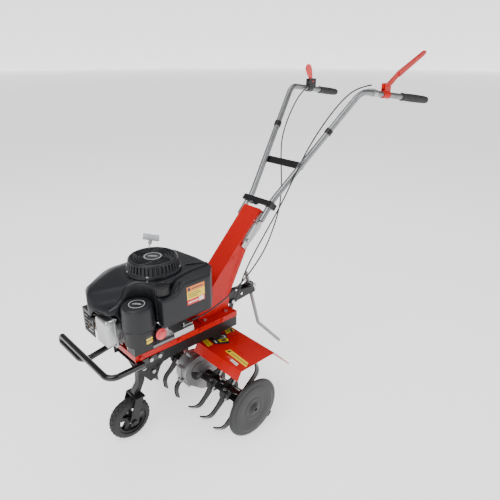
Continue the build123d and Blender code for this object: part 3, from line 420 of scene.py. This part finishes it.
disc_low, disc_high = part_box("guard_discs")
disc_radius = (disc_high.z - disc_low.z) * 500
disc_height = (disc_high.z + disc_low.z) * 500
disc_face = disc_high.x * 1000 - 10
disc_grey = Finish("disc_grey", (0.085, 0.086, 0.088), 0.42, metallic=0.25)
scuff = disc_grey.noise(26.0, 5.0)
disc_grey.feed("Base Color", disc_grey.mixed(scuff, (0.010, 0.0105, 0.011), (0.020, 0.020, 0.0205)))
disc_grey.feed("Roughness", scuff * 0.25 + 0.3)
disc_grey.bump(disc_grey.noise(240.0, 3.0), 0.08, 0.0004)
disc_profile = rounded_line(
    [
        (-9, 20.2), (-1, 20.2), (5.6, 10), (6.8, 5), (9.8, 5), (8.8, 11.5), (1.5, 24), (2.2, 40), (1.2, 42),
        (2.6, 66), (2.2, 84), (0.9, 86), (-1.0, 101), (-4, disc_radius - 1.4), (-8.5, disc_radius - 0.1),
        (-9, disc_radius - 2.4), (-5.4, disc_radius - 3.2), (-3.4, 100), (0, 66), (-1, 25), (-9, 24.4),
        (-9, 20.2),
    ]
)
collar_half, collar_inset = 12.5, 21.5
collar_along = np.array([[-1], [-1], [-1], [1], [1], [1]]) * collar_half
collar_radius = np.array([[20.1], [23.2], [24], [24], [23.2], [20.1]])
for side, hand in ((1, "left"), (-1, "right")):
    face = (side * disc_face, 0, disc_height)
    grid = spun(face, (side, 0, 0), (0, 0, 1), disc_profile[:, :1], disc_profile[:, 1:], full_turn(128))
    disc = closed_piece(hand + "_guard_disc", grid, disc_grey, "guard_discs", 40)
    if side > 0:
        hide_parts("guard_discs")
for side, hand in ((1, "left"), (-1, "right")):
    middle = (side * (disc_face - collar_inset), 0, disc_height)
    grid = spun(middle, (1, 0, 0), (0, 0, 1), collar_along, collar_radius, full_turn(48))
    closed_piece("disc_collar_" + hand, grid, powder, "guard_discs", 32)

# ---- front wheel ---------------------------------------------------------------------------------
# A solid rubber tyre with a diamond block tread, pressed on a black moulded wheel with five spokes.
def soft_switch(value, width):
    """Nought well below 0 and one well above it: 1 / (1 + e^(-value / width))."""
    return 1 / (1 + np.exp(-np.asarray(value) / width))


wheel_low, wheel_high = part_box("wheel_tyre")
wheel_centre = (np.array(wheel_low) + np.array(wheel_high)) / 2 * 1000 - np.array([0, axle_y * 1000, 0])
wheel_radius = (wheel_high.z - wheel_low.z) * 500
wheel_half = (wheel_high.x - wheel_low.x) * 500
rubber = Finish("tyre_rubber", (0.022, 0.022, 0.023), 0.7)
dust = rubber.noise(60.0, 4.0)
rubber.feed("Base Color", rubber.mixed(dust, (0.010, 0.010, 0.011), (0.028, 0.027, 0.026)))
rubber.feed("Roughness", dust * 0.2 + 0.6)
rubber.bump(rubber.noise(500.0, 3.0), 0.12, 0.0004)
tyre_turns = full_turn(320)
cross = np.linspace(0, 1, 72)[:, None]
swell = np.pi * (cross * 1.16 - 0.08)
tyre_x = -np.cos(swell) * wheel_half
bead = 0.7 * wheel_radius
tyre_r = bead + (wheel_radius - bead) * np.clip(np.sin(swell), 0, 1) ** 0.55
lugs_round, lug_pitch, tread_depth = 26, 9.5, 2.6
tread_u = tyre_turns * lugs_round
tread_v = tyre_x * (np.pi / lug_pitch)
diamond = np.minimum(np.abs(np.sin(tread_u / 2 + tread_v / 2)), np.abs(np.sin(tread_u / 2 - tread_v / 2)))
lug = soft_switch(diamond - 0.32, 1 / 22)
crown = np.clip((tyre_r - bead) / (wheel_radius - bead) * 1.9 - 0.72, 0, 1)
tyre_r = tyre_r - tread_depth * (1 - lug) * crown
tyre_grid = spun(wheel_centre, (1, 0, 0), (0, 0, 1), tyre_x, tyre_r, tyre_turns)
tyre_mesh = skin("tyre", placed(tyre_grid), around=True, along=True)
add_piece("front_tyre", tyre_mesh, rubber, "wheel_tyre", ("wheel_tyre",), smooth=50)
moulded = Finish("moulded_black", (0.010, 0.010, 0.011), 0.38, specular=0.35)
moulded.feed("Roughness", moulded.noise(120.0, 3.0) * 0.2 + 0.3)
moulded.bump(moulded.noise(900.0, 2.0), 0.08, 0.0002)
for node in ("wheel_rim", "idler_pulley", "starter_reel", "throttle_housing", "air_cleaner", "oil_cap"):
    dressed(node, moulded, 0.5)
dressed("drive_belt", rubber, 0.0)

# ---- engine cowl ---------------------------------------------------------------------------------
# The blower housing: one satin black moulding over the flywheel, round at the front, level under the
# starter, falling away to the front and far side, and cut round the air cleaner and the valve cover.
cowl_black = Finish("cowl_black", (0.010, 0.011, 0.013), 0.4, specular=0.32)
mould_tone = cowl_black.noise(12.0, 3.0)
cowl_black.feed("Base Color", cowl_black.mixed(mould_tone, (0.009, 0.010, 0.012), (0.014, 0.015, 0.018)))
cowl_black.feed("Roughness", mould_tone * 0.12 + 0.34)
cowl_black.bump(cowl_black.noise(1100.0, 2.0), 0.10, 0.0002)
crank_low, crank_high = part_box("starter_housing")
crank_y = ((crank_low.y + crank_high.y) / 2 - axle_y) * 1000
deck_of_cowl = crank_low.z * 1000
cowl_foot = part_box("engine_cowl")[0].z * 1000
cup_low, cup_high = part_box("cleaner_lid")
cup_x, cup_y = (cup_low.x + cup_high.x) * 500, ((cup_low.y + cup_high.y) / 2 - axle_y) * 1000
cup_radius = (cup_high.x - cup_low.x) * 500


def soft_step(value, width):
    """Zero below 0, the value itself above it, with a rounded bend between, some width across."""
    return np.logaddexp(0, np.asarray(value) / width) * width


def soft_outline(corners, spacing, softness):
    """A closed line round some corners: evenly spaced points, smoothed by a running Gaussian average."""
    corners = np.array(corners, float)
    runs = np.roll(corners, -1, axis=0) - corners
    lengths = np.linalg.norm(runs, axis=1)
    total = np.concatenate([[0], np.cumsum(lengths)])
    stations = np.linspace(0, total[-1], int(total[-1] / spacing), endpoint=False)
    ring = np.vstack([corners, corners[:1]])
    line = np.stack([np.interp(stations, total, ring[:, axis]) for axis in (0, 1)], axis=1)
    wave = np.fft.fftfreq(len(line), d=total[-1] / len(line))
    window = np.exp(-2 * (np.pi * wave * softness) ** 2)[:, None]
    return np.real(np.fft.ifft(np.fft.fft(line, axis=0) * window, axis=0))


def inset(outline, depth):
    """The outline moved inwards, square to itself, by a depth for each row."""
    ahead = np.roll(outline, -1, axis=0) - np.roll(outline, 1, axis=0)
    normal = np.stack([-ahead[:, 1], ahead[:, 0]], axis=1) / np.linalg.norm(ahead, axis=1, keepdims=True)
    return outline[None] + normal[None] * np.asarray(depth)[:, None, None]


def cowl_height(x, y):
    """The cowl's top: level, less a fall towards the front, the far side and the filler cap."""
    to_cap = 0.66 * x - 0.75 * (y - crank_y)
    fall = 0.40 * soft_step(-262 - y, 9) + 0.42 * soft_step(-98 - x, 9)
    return deck_of_cowl - 0.4 - fall - 34 * soft_switch(to_cap - 112, 5.0)


arc = np.radians(np.linspace(214, 80, 17))
cup_gap = 6
cup_cut = np.array([cup_x, cup_y]) + (cup_radius + cup_gap) * np.stack([np.cos(arc), np.sin(arc)], axis=1)
cowl_corners = [
    (106, -176), (91, -90), (89, -13), (20, -13), (-106, -30),
    (-155, -98), (-155, -288), (-124, -360), (-64, -384), (32, -364),
]
cowl_line = soft_outline(np.vstack([cowl_corners, cup_cut]), 4.0, 5.0)
edge_turn = np.radians(np.linspace(0, 90, 7))
edge_radius = 13.0
wall_rows = np.array([0.0, 0.25, 0.5, 0.75, 1.0])
wall_plan = np.repeat(cowl_line[None], len(wall_rows), axis=0)
round_plan = inset(cowl_line, edge_radius * (1 - np.cos(edge_turn[1:])))
hole = np.arctan2(cowl_line[:, 1] - crank_y, cowl_line[:, 0])
eye_line = np.stack([70 * np.cos(hole), crank_y + 70 * np.sin(hole)], axis=1)
reach = np.linspace(0, 1, 14)[1:, None, None]
top_plan = round_plan[-1][None] * (1 - reach) + eye_line[None] * reach
brow = cowl_height(cowl_line[:, 0], cowl_line[:, 1]) - edge_radius
near_valve = soft_switch(52 - np.abs(cowl_line[:, 0] - 4), 4) * soft_switch(-335 - cowl_line[:, 1], 4)
foot = cowl_foot + 0.5 + 34 * near_valve
wall_z = foot[None] * (1 - wall_rows[:, None]) + brow[None] * wall_rows[:, None]
edge_drop = edge_radius * (1 - np.sin(edge_turn[1:]))[:, None]
round_z = cowl_height(round_plan[..., 0], round_plan[..., 1]) - edge_drop
top_z = cowl_height(top_plan[..., 0], top_plan[..., 1])
plan = np.concatenate([wall_plan, round_plan, top_plan])
cowl_grid = np.dstack([plan, np.concatenate([wall_z, round_z, top_z])[..., None]])
cowl = closed_piece("engine_cowl_moulding", cowl_grid, cowl_black, "engine_cowl", 50, ("engine_cowl",))
thickness = cowl.modifiers.new("wall", "SOLIDIFY")
thickness.thickness = 0.0026
thickness.offset = -1

# ---- fuel tank -----------------------------------------------------------------------------------
# A blow-moulded tank that completes the cowl's near side: full height at the back, lower at the filler.
tank_corners = [(114, -244), (150, -245), (150, -62), (97, -15), (90, -15), (92.5, -90), (108, -176)]
tank_line = soft_outline(tank_corners, 4.0, 3.5)
tank_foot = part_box("fuel_tank")[0].z * 1000


def tank_height(x, y):
    """The tank's top: level with the cowl at the back, and a ramp down to the filler at the front."""
    return deck_of_cowl - 2 - 30 * soft_switch(-181 - y, 5.5) - 0.10 * soft_step(x - 120, 8)


tank_edge = 9
tank_plan_low = inset(tank_line, tank_edge * (1 - np.sin(edge_turn)))
tank_plan_wall = np.repeat(tank_line[None], 5, axis=0)
tank_plan_high = inset(tank_line, tank_edge * (1 - np.cos(edge_turn)))
tank_middle = tank_line.mean(axis=0)
spread = np.linspace(0, 1, 7)[1:, None, None]
tank_top = tank_plan_high[-1][None] * (1 - spread) + tank_middle * spread
tank_under = tank_plan_low[0][None] * (1 - spread[::-1]) + tank_middle * spread[::-1]
tank_brow = tank_height(tank_line[:, 0], tank_line[:, 1]) - tank_edge
tank_wall_z = (tank_foot + tank_edge) * (1 - wall_rows[:, None]) + tank_brow[None] * wall_rows[:, None]
low_rise = tank_edge * (1 - np.cos(edge_turn))[:, None]
high_drop = tank_edge * (1 - np.sin(edge_turn))[:, None]
tank_rows = [
    (tank_under, np.full(tank_under.shape[:2], tank_foot)),
    (tank_plan_low, tank_foot + low_rise + np.zeros(len(tank_line))),
    (tank_plan_wall, tank_wall_z),
    (tank_plan_high, tank_height(tank_plan_high[..., 0], tank_plan_high[..., 1]) - high_drop),
    (tank_top, tank_height(tank_top[..., 0], tank_top[..., 1])),
]
tank_grid = np.concatenate([np.dstack([flat, level[..., None]]) for flat, level in tank_rows])
closed_piece("tank_moulding", tank_grid, cowl_black, "fuel_tank", 50, ("fuel_tank",))

# ---- filler cap ----------------------------------------------------------------------------------
# A moulded screw cap with finger scallops round its rim and a raised ring on top.
cap_low, cap_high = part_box("fuel_cap")
cap_x, cap_y = (cap_low.x + cap_high.x) * 500, ((cap_low.y + cap_high.y) / 2 - axle_y) * 1000
cap_radius = (cap_high.x - cap_low.x) * 500
cap_foot, cap_top = cap_low.z * 1000, cap_high.z * 1000
cap_profile = rounded_line(
    [
        (cap_foot, cap_radius - 3), (cap_foot, cap_radius - 0.6), (cap_foot + 3, cap_radius),
        (cap_top - 5, cap_radius - 1), (cap_top - 1, cap_radius - 3.5), (cap_top, cap_radius - 7),
        (cap_top - 1.6, cap_radius - 9), (cap_top - 1.6, 4), (cap_top - 1.6, 0),
    ]
)
cap_turns = full_turn(216)
scallop = 1 - 0.055 * (0.5 + 0.5 * np.cos(18 * cap_turns)) ** 3 * (cap_profile[:, 1:] > cap_radius - 4.5)
cap_r = cap_profile[:, 1:] * scallop
cap_grid = spun((cap_x, cap_y, 0), (0, 0, 1), (1, 0, 0), cap_profile[:, :1], cap_r, cap_turns)
closed_piece("filler_cap", cap_grid, moulded, "fuel_cap", 45, ("fuel_cap",))

# ---- recoil starter housing ----------------------------------------------------------------------
# The starter's own cover: a ribbed drum with a slotted top on a screwed flange, and a plain centre boss.
def smooth_gate(value, low, high, blur):
    """One between two levels and nought outside them, with blurred edges."""
    return soft_switch(value - low, blur) * soft_switch(high - value, blur)


drum_foot, drum_tall = crank_low.z * 1000, (crank_high.z - crank_low.z) * 1000
flange = (crank_high.x - crank_low.x) * 500
wall_steps, top_steps = 22, 86
rib_turn, rib_depth, slot_width, slot_depth = 9, 6.5, 5.6, 5.0
flange_r = [flange - 4, flange - 0.5, flange, flange - 0.5, 86.5]
wall_r = np.concatenate([flange_r, np.linspace(85.6, 79.6, wall_steps)])
wall_h = np.concatenate([[0, 0.2, 1.2, 8.2, 9], np.linspace(9.6, drum_tall - 5.5, wall_steps)])
top_r = np.concatenate([[78.6, 76.5, 73.5], np.linspace(71.5, 33.5, top_steps), [32.6, 32, 31, 16, 0]])
top_h = drum_tall - np.concatenate([[3.2, 1.4, 0.4], np.zeros(top_steps), [0.4, 1.0, 1.2, 1.2, 1.2]])
drum_r = np.concatenate([wall_r, top_r])[:, None]
drum_h = np.concatenate([wall_h, top_h])[:, None]
drum_turns = full_turn(480)
drum_degrees = np.degrees(drum_turns)
on_wall = np.concatenate([smooth_gate(wall_h, 12, drum_tall - 9, 0.5), np.zeros(len(top_r))])[:, None]
drum_sink = np.zeros((len(drum_r), drum_turns.shape[1]))
for ring in (35.0, 44.5, 54.0, 63.5):
    open_share = smooth_gate((drum_degrees + 0.9 * ring) % 90, 5, 85, 0.7)
    drum_sink += smooth_gate(drum_r, ring, ring + slot_width, 0.25) * open_share * (drum_h > 30)
drum_radius = drum_r - rib_depth * on_wall * smooth_gate(drum_degrees % rib_turn, 2.2, 6.8, 0.25)
drum_along = drum_h - slot_depth * drum_sink
drum_grid = spun((0, crank_y, drum_foot), (0, 0, 1), (1, 0, 0), drum_along, drum_radius, drum_turns)
closed_piece("starter_drum", drum_grid, cowl_black, "starter_housing", 40, ("starter_housing",))


def badge(name, centre, radius, like):
    """A plain round badge lying level: a light ring, and two light bars instead of any mark."""
    dark, light = (0.012, 0.012, 0.013), (0.62, 0.62, 0.62)
    plate = Finish(name + "_print", dark, 0.35)
    x = plate.part_of_place("X") - centre[0] / 1000
    y = plate.part_of_place("Y") - (centre[1] / 1000 + axle_y)
    share = 1000 / radius
    reach = (x * x + y * y) ** 0.5 * share
    along, over = (x * 0.73 + y * 0.68) * share, (y * 0.73 - x * 0.68) * share
    wide_bar = along.between(-0.52, 0.52) * over.between(-0.07, 0.04)
    thin_bar = along.between(-0.36, 0.36) * over.between(0.14, 0.19)
    printed = (reach.between(0.84, 0.91) + wide_bar + thin_bar).held()
    plate.feed("Base Color", plate.mixed(printed, dark, light))
    rows = np.array([[radius, 0.0], [radius, 0.45], [radius - 0.5, 0.6], [radius * 0.5, 0.6], [0, 0.6]])
    grid = spun(centre, (0, 0, 1), (1, 0, 0), rows[:, 1:], rows[:, :1], full_turn(64))
    return closed_piece(name, grid, plate, like, 40)


badge("starter_badge", (0, crank_y, drum_foot + drum_tall - 1.3), 30.5, "starter_housing")

# ---- air cleaner ---------------------------------------------------------------------------------
# A deep round cup over a foam filter, lifted off upwards, with a flat top and a plain round badge.
lid_foot, lid_top = cup_low.z * 1000, cup_high.z * 1000
lid_profile = rounded_line(
    [
        (lid_foot, cup_radius - 3), (lid_foot, cup_radius - 0.3), (lid_foot + 4, cup_radius),
        (lid_foot + 5, cup_radius - 1.4), (lid_top - 14, cup_radius - 3.8), (lid_top - 5, cup_radius - 5.5),
        (lid_top - 0.5, cup_radius - 10), (lid_top, cup_radius - 14), (lid_top, cup_radius - 22),
        (lid_top, 8), (lid_top, 0),
    ]
)
lid_along, lid_r = lid_profile[:, :1], lid_profile[:, 1:]
lid_grid = spun((cup_x, cup_y, 0), (0, 0, 1), (1, 0, 0), lid_along, lid_r, full_turn(96))
closed_piece("cleaner_cup", lid_grid, cowl_black, "cleaner_lid", 45, ("cleaner_lid",))
badge("cleaner_badge", (cup_x, cup_y, lid_top - 0.1), 27.0, "cleaner_lid")
foam = Finish("filter_foam", (0.05, 0.05, 0.05), 0.9)
foam.bump(foam.noise(700.0, 5.0), 0.8, 0.001)
dressed("air_filter", foam, 0.0)

# ---- exhaust, valve cover and spark plug ---------------------------------------------------------
# A pressed steel valve cover in bright zinc; a heat-tinted muffler; a plug with a white insulator.
dressed("valve_cover", zinc, 0.0, 50)
tinted = Finish("heat_tinted_steel", (0.30, 0.26, 0.22), 0.45, metallic=0.9)
heat = tinted.noise(22.0, 4.0)
tinted.feed("Base Color", tinted.mixed(heat, (0.20, 0.17, 0.15), (0.44, 0.36, 0.26)))
tinted.feed("Roughness", heat * 0.25 + 0.35)
dressed("muffler", tinted, 0.4)
ceramic = Finish("plug_ceramic", (0.62, 0.55, 0.42), 0.3)
ceramic.feed("Roughness", ceramic.noise(90.0) * 0.2 + 0.2)
dressed("spark_plug", ceramic, 0.3, second=moulded, where=lambda x, y, z: x < -63)

# ---- primer bulb ---------------------------------------------------------------------------------
# A soft pink-red bulb held in a black ring: a dome that is pressed in with the thumb.
bulb_low, bulb_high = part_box("primer_bulb")
bulb_y, bulb_z = ((bulb_low.y + bulb_high.y) / 2 - axle_y) * 1000, (bulb_low.z + bulb_high.z) * 500
bulb_radius = (bulb_high.z - bulb_low.z) * 500
bulb_rubber = Finish("primer_rubber", (0.72, 0.05, 0.07), 0.34)
bulb_tone = bulb_rubber.noise(50.0, 3.0)
bulb_rubber.feed("Base Color", bulb_rubber.mixed(bulb_tone, (0.66, 0.035, 0.055), (0.80, 0.08, 0.10)))
bulb_rubber.bump(bulb_rubber.noise(600.0), 0.05, 0.0003)
bulb_tip = bulb_high.x * 1000
flange_radius = 19.2
flange_profile = [
    (bulb_tip - 14.2, 0), (bulb_tip - 14.2, flange_radius), (bulb_tip - 11.5, flange_radius),
    (bulb_tip - 10.6, flange_radius - 1), (bulb_tip - 10.4, 15.2),
]
dome = np.radians(np.linspace(90, 0, 12))
dome_along = bulb_tip - 9 + 8.6 * np.cos(dome)
dome_radius = bulb_radius * np.clip(np.sin(dome), 0, 1) ** 0.8 * 0.9
dome_profile = np.vstack([flange_profile, np.stack([dome_along, dome_radius], axis=1)])
dome_middle = (0, bulb_y, bulb_z)
dome_grid = spun(dome_middle, (1, 0, 0), (0, 0, 1), dome_profile[:, :1], dome_profile[:, 1:], full_turn(96))
closed_piece("primer_dome", dome_grid, bulb_rubber, "primer_bulb", 60, ("primer_bulb",))

# ---- handlebar -----------------------------------------------------------------------------------
# Two welded steel tubes, painted a satin silver and bent outwards and back to the grips.
silver = Finish("silver_tube", (0.40, 0.41, 0.42), 0.3, metallic=0.85)
drawn = silver.noise(40.0, 3.0)
silver.feed("Base Color", silver.mixed(drawn, (0.20, 0.205, 0.21), (0.30, 0.305, 0.31)))
silver.feed("Roughness", drawn * 0.16 + 0.24)
dressed("depth_spur", silver, 0.3)
dressed("handlebar", silver, 0.3, second=zinc, where=lambda x, y, z: (np.abs(x) < 50.7) & (y < 300))

# ---- grips ---------------------------------------------------------------------------------------
# Push-on rubber grips, a slim barrel with fine rings along it and a flange at the inner end.
grip_rubber = Finish("grip_rubber", (0.020, 0.020, 0.021), 0.62)
grip_tone = grip_rubber.noise(80.0, 3.0)
grip_rubber.feed("Base Color", grip_rubber.mixed(grip_tone, (0.012, 0.012, 0.013), (0.024, 0.024, 0.024)))
grip_rubber.bump(grip_rubber.noise(700.0), 0.1, 0.0003)
bar_bend, bar_end = np.array([171.0, 641.0, 1103.0]), np.array([229.0, 1006.0, 1052.0])
bar_run = bar_end - bar_bend
bar_length = np.linalg.norm(bar_run)
grip_start = bar_bend + bar_run * 0.6
grip_length = bar_length * 0.4 + 3.6
ring_pitch, ring_height = 5.2, 0.55
station = np.linspace(0, 1, 150)[:, None]
ringed = (station > 0.1) * (station < 0.93)
rings = ring_height * np.sin(station * grip_length / ring_pitch * 2 * np.pi) * ringed
barrel = 13.2 + 1.6 * np.sin(np.pi * station) + rings
barrel = np.where(station < 0.045, 15.2, barrel) * np.where(station > 0.975, 0.93, 1)
grip_along = np.vstack([[[0.0]], station * grip_length, [[grip_length]]])
grip_radius = np.vstack([[[11.0]], barrel, [[0.0]]])
for side, hand in ((1, "left"), (-1, "right")):
    flip = np.array([side, 1, 1])
    way = bar_run * flip / bar_length
    across = np.cross(way, (0, 0, 1))
    across /= np.linalg.norm(across)
    grid = spun(grip_start * flip, way, across, grip_along, grip_radius, full_turn(96))
    grip = closed_piece(hand + "_grip", grid, grip_rubber, "grips", 50)
    if side > 0:
        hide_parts("grips")

# ---- labels --------------------------------------------------------------------------------------
# Printed vinyl labels on the tank, a fender and the air cleaner: plain blocks and bars, no lettering.
def label(name, corners, like, ground, marks):
    """A thin label over four corners. Each mark is two shares across, two shares up and a colour.

    share across, share up = the first two rows of the inverse of (across, up, square) times (place - corner)
    """
    first, second, third, fourth = (placed(corner) for corner in corners)
    vinyl = Finish(name + "_print", ground, 0.3)
    across, up = second - first, fourth - first
    rows = np.linalg.inv(np.stack([across, up, np.cross(across, up)], axis=1))[:2].tolist()
    x, y, z = (vinyl.part_of_place(axis) - from_corner for axis, from_corner in zip("XYZ", first.tolist()))
    u, v = (x * row[0] + y * row[1] + z * row[2] for row in rows)
    shade = ground
    for left, right, low, high, colour in marks:
        shade = vinyl.mixed(u.between(left, right) * v.between(low, high), shade, colour)
    vinyl.feed("Base Color", shade)
    run, rise = np.linspace(0, 1, 5)[:, None, None], np.linspace(0, 1, 4)[None, :, None]
    near, far = first * (1 - run) + second * run, fourth * (1 - run) + third * run
    return add_piece(name, skin(name, near * (1 - rise) + far * rise), vinyl, like, smooth=60)


yellow, orange, strong_red = (0.85, 0.60, 0.02), (0.80, 0.20, 0.02), (0.62, 0.02, 0.02)
white, ink = (0.80, 0.80, 0.78), (0.02, 0.02, 0.02)
tank_side = 150.15
tank_marks = [
    (0.00, 1.00, 0.00, 0.30, strong_red),
    (0.06, 0.62, 0.10, 0.16, white),
    (0.66, 0.94, 0.04, 0.26, white),
    (0.00, 1.00, 0.72, 1.00, orange),
    (0.05, 0.20, 0.77, 0.94, ink),
    (0.26, 0.90, 0.82, 0.88, ink),
    (0.06, 0.70, 0.60, 0.64, ink),
    (0.06, 0.78, 0.50, 0.54, ink),
    (0.06, 0.58, 0.40, 0.44, ink),
]
tank_label_corners = [(tank_side, y, z) for y, z in ((-156, 515), (-88, 515), (-88, 578), (-156, 578))]
label("tank_label", tank_label_corners, "fuel_tank", yellow, tank_marks)

sheet_top = 276.2
warning_marks = [
    (0.0, 1.0, 0.66, 1.0, ink), (0.06, 0.30, 0.70, 0.94, yellow),
    (0.06, 0.94, 0.44, 0.52, ink), (0.06, 0.8, 0.26, 0.34, ink),
]
depth_marks = [(0.05, 0.28, 0.15, 0.85, ink), (0.36, 0.92, 0.42, 0.56, ink)]
hand_marks = [
    (0.10, 0.90, 0.12, 0.20, white), (0.16, 0.46, 0.34, 0.84, white), (0.20, 0.42, 0.42, 0.76, ink),
    (0.56, 0.88, 0.34, 0.84, yellow), (0.62, 0.82, 0.46, 0.72, ink),
]
edge_marks = [(0.04, 0.12, 0.2, 0.8, ink), (0.2, 0.9, 0.42, 0.56, ink)]
small_marks = [(0.0, 0.4, 0.0, 1.0, strong_red), (0.5, 0.92, 0.4, 0.6, ink)]
fender_labels = (
    ("warning_label", ((28, 84), (69, 65), (74, 100), (40, 110)), yellow, warning_marks),
    ("depth_label", ((28, -26), (88, -36), (87, -14), (32, -7)), yellow, depth_marks),
    ("hand_label", ((33, 2), (91, -10), (124, 33), (65, 66)), ink, hand_marks),
    ("edge_label", ((148, -9), (266, -17), (255, 4), (154, 11)), yellow, edge_marks),
    ("small_label", ((173, -28), (238, -36), (237, -24), (176, -19)), white, small_marks),
)
for name, flat_corners, ground, marks in fender_labels:
    label(name, [(x, y, sheet_top) for x, y in flat_corners], "fenders", ground, marks)

cup_vinyl = Finish("cleaner_label", yellow, 0.3)
cup_height = cup_vinyl.part_of_place("Z") * 1000
cup_bars = cup_height.between(450, 459) + cup_height.between(440, 443)
cup_vinyl.feed("Base Color", cup_vinyl.mixed(cup_bars, yellow, ink))
body_radius = (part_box("air_cleaner")[1].x - cup_x / 1000) * 1000 + 0.2
cup_turn, cup_rows = np.radians(np.linspace(-6, 22, 9))[:, None], np.array([[432.0, 445.0, 458.0]])
cup_grid = spun((cup_x, cup_y, 0), (0, 0, 1), (1, 0, 0), cup_rows, body_radius, cup_turn)
add_piece("cleaner_label", skin("cleaner_label", placed(cup_grid)), cup_vinyl, "air_cleaner", smooth=60)

# ---- throttle lever and starter handle -----------------------------------------------------------
# A glossy red moulded paddle on the far bar, and a grey moulded T-handle on the starter's cord.
red_plastic = Finish("red_plastic", (0.70, 0.02, 0.015), 0.24, coat=0.3)
red_plastic.feed("Roughness", red_plastic.noise(60.0) * 0.12 + 0.18)
dressed("throttle_lever", red_plastic, 0.8)
grey_plastic = Finish("grey_plastic", (0.42, 0.44, 0.46), 0.34)
grey_tone = grey_plastic.noise(40.0, 3.0)
grey_plastic.feed("Base Color", grey_plastic.mixed(grey_tone, (0.36, 0.38, 0.40), (0.52, 0.54, 0.56)))
dressed("pull_handle", grey_plastic, 1.6, 50)

# ---- starter cord --------------------------------------------------------------------------------
# A braided cord pulled straight from the eyelet in the starter to the handle.
braid = Finish("braided_cord", (0.55, 0.55, 0.53), 0.8)
braid.bump(braid.noise(1500.0, 2.0), 0.5, 0.0004)


def tube(path, radius, reference=(1, 0, 0), around=14):
    """A round tube along a path: at each point, a circle square to the path's direction."""
    path = np.asarray(path, float)
    way = np.gradient(path, axis=0)
    way /= np.linalg.norm(way, axis=1, keepdims=True)
    first = np.array(reference, float) - (way @ np.array(reference, float))[:, None] * way
    first /= np.linalg.norm(first, axis=1, keepdims=True)
    second = np.cross(way, first)
    turns = np.linspace(0, 2 * np.pi, around, endpoint=False)[None, :, None]
    rings = path[:, None] + radius * (np.cos(turns) * first[:, None] + np.sin(turns) * second[:, None])
    return np.concatenate([path[:1, None].repeat(around, 1), rings, path[-1:, None].repeat(around, 1)])


rope_low, rope_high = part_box("starter_rope")
rope_margin = np.array([0.0018, 0.0018, 0.0006])
rope_start, rope_end = np.array(rope_low) + rope_margin, np.array(rope_high) - rope_margin
rope_share = np.linspace(0, 1, 24)[:, None]
rope_path = rope_start * (1 - rope_share) + rope_end * rope_share
rope_mesh = skin("starter_cord", tube(rope_path, 0.0017), around=True)
rope = add_piece("starter_cord", rope_mesh, braid, "starter_rope", ("starter_rope",), 60)
rope.parent = None
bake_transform(rope)

# ---- control cables ------------------------------------------------------------------------------
# Steel inner wires in black plastic outers: one from the throttle on the far bar to the carburettor,
# one from the clutch lever down behind the column. Both follow the bars, then run down below them.
jacket = Finish("cable_jacket", (0.014, 0.014, 0.015), 0.4)
jacket.feed("Roughness", jacket.noise(200.0) * 0.2 + 0.3)


def route(name, points):
    """The smooth line that a cable follows past its route's points, read from a NURBS spline."""
    line = bpy.data.curves.new(name, "CURVE")
    line.dimensions = "3D"
    line.resolution_u = 10
    spline = line.splines.new("NURBS")
    spline.points.add(len(points) - 1)
    for control, point in zip(spline.points, points):
        control.co = (*spot(*point), 1)
    spline.order_u = 3
    spline.use_endpoint_u = True
    holder = bpy.data.objects.new(name, line)
    bpy.context.collection.objects.link(holder)
    read = bpy.data.meshes.new_from_object(holder)
    path = np.array([vertex.co for vertex in read.vertices])
    bpy.data.objects.remove(holder)
    return path


throttle_route = [
    (-172.0, 742.0, 1094.0),
    (-160.0, 684.0, 1072.0),
    (-140.0, 622.0, 1030.0),
    (-118.0, 560.0, 976.0),
    (-98.0, 512.0, 916.0),
    (-68.0, 478.0, 862.0),
    (-34.0, 446.0, 812.0),
    (2.0, 412.0, 754.0),
    (36.0, 370.0, 698.0),
    (62.0, 316.0, 642.0),
    (82.0, 256.0, 580.0),
    (96.0, 192.0, 534.0),
    (108.0, 122.0, 498.0),
    (116.0, 50.0, 468.0),
    (119.0, -22.0, 446.0),
    (116.0, -84.0, 432.0),
    (112.0, -116.0, 430.5),
]
clutch_route = [
    (168.0, 706.0, 1122.0),
    (158.0, 662.0, 1118.0),
    (146.0, 604.0, 1098.0),
    (132.0, 546.0, 1050.0),
    (118.0, 486.0, 984.0),
    (106.0, 430.0, 910.0),
    (96.0, 384.0, 830.0),
    (88.0, 344.0, 756.0),
    (82.0, 296.0, 686.0),
    (76.0, 246.0, 620.0),
    (72.0, 196.0, 556.0),
    (68.0, 154.0, 490.0),
    (66.0, 130.0, 430.0),
    (66.0, 116.0, 390.0),
]
cables = (("throttle_cable", throttle_route, 1.176), ("clutch_cable", clutch_route, 0.979))
for node, points, length in cables:
    path = route(node, points)
    cable_mesh = skin(node, tube(path, 0.0026), around=True)
    cable = add_piece(node + "_outer", cable_mesh, jacket, node, (node,), 60)
    cable.parent = None
    tuple(spot(*points[0]))
    tuple(spot(60, 60, 470))
    tuple(spot(60, 420, 800))
    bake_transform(cable)
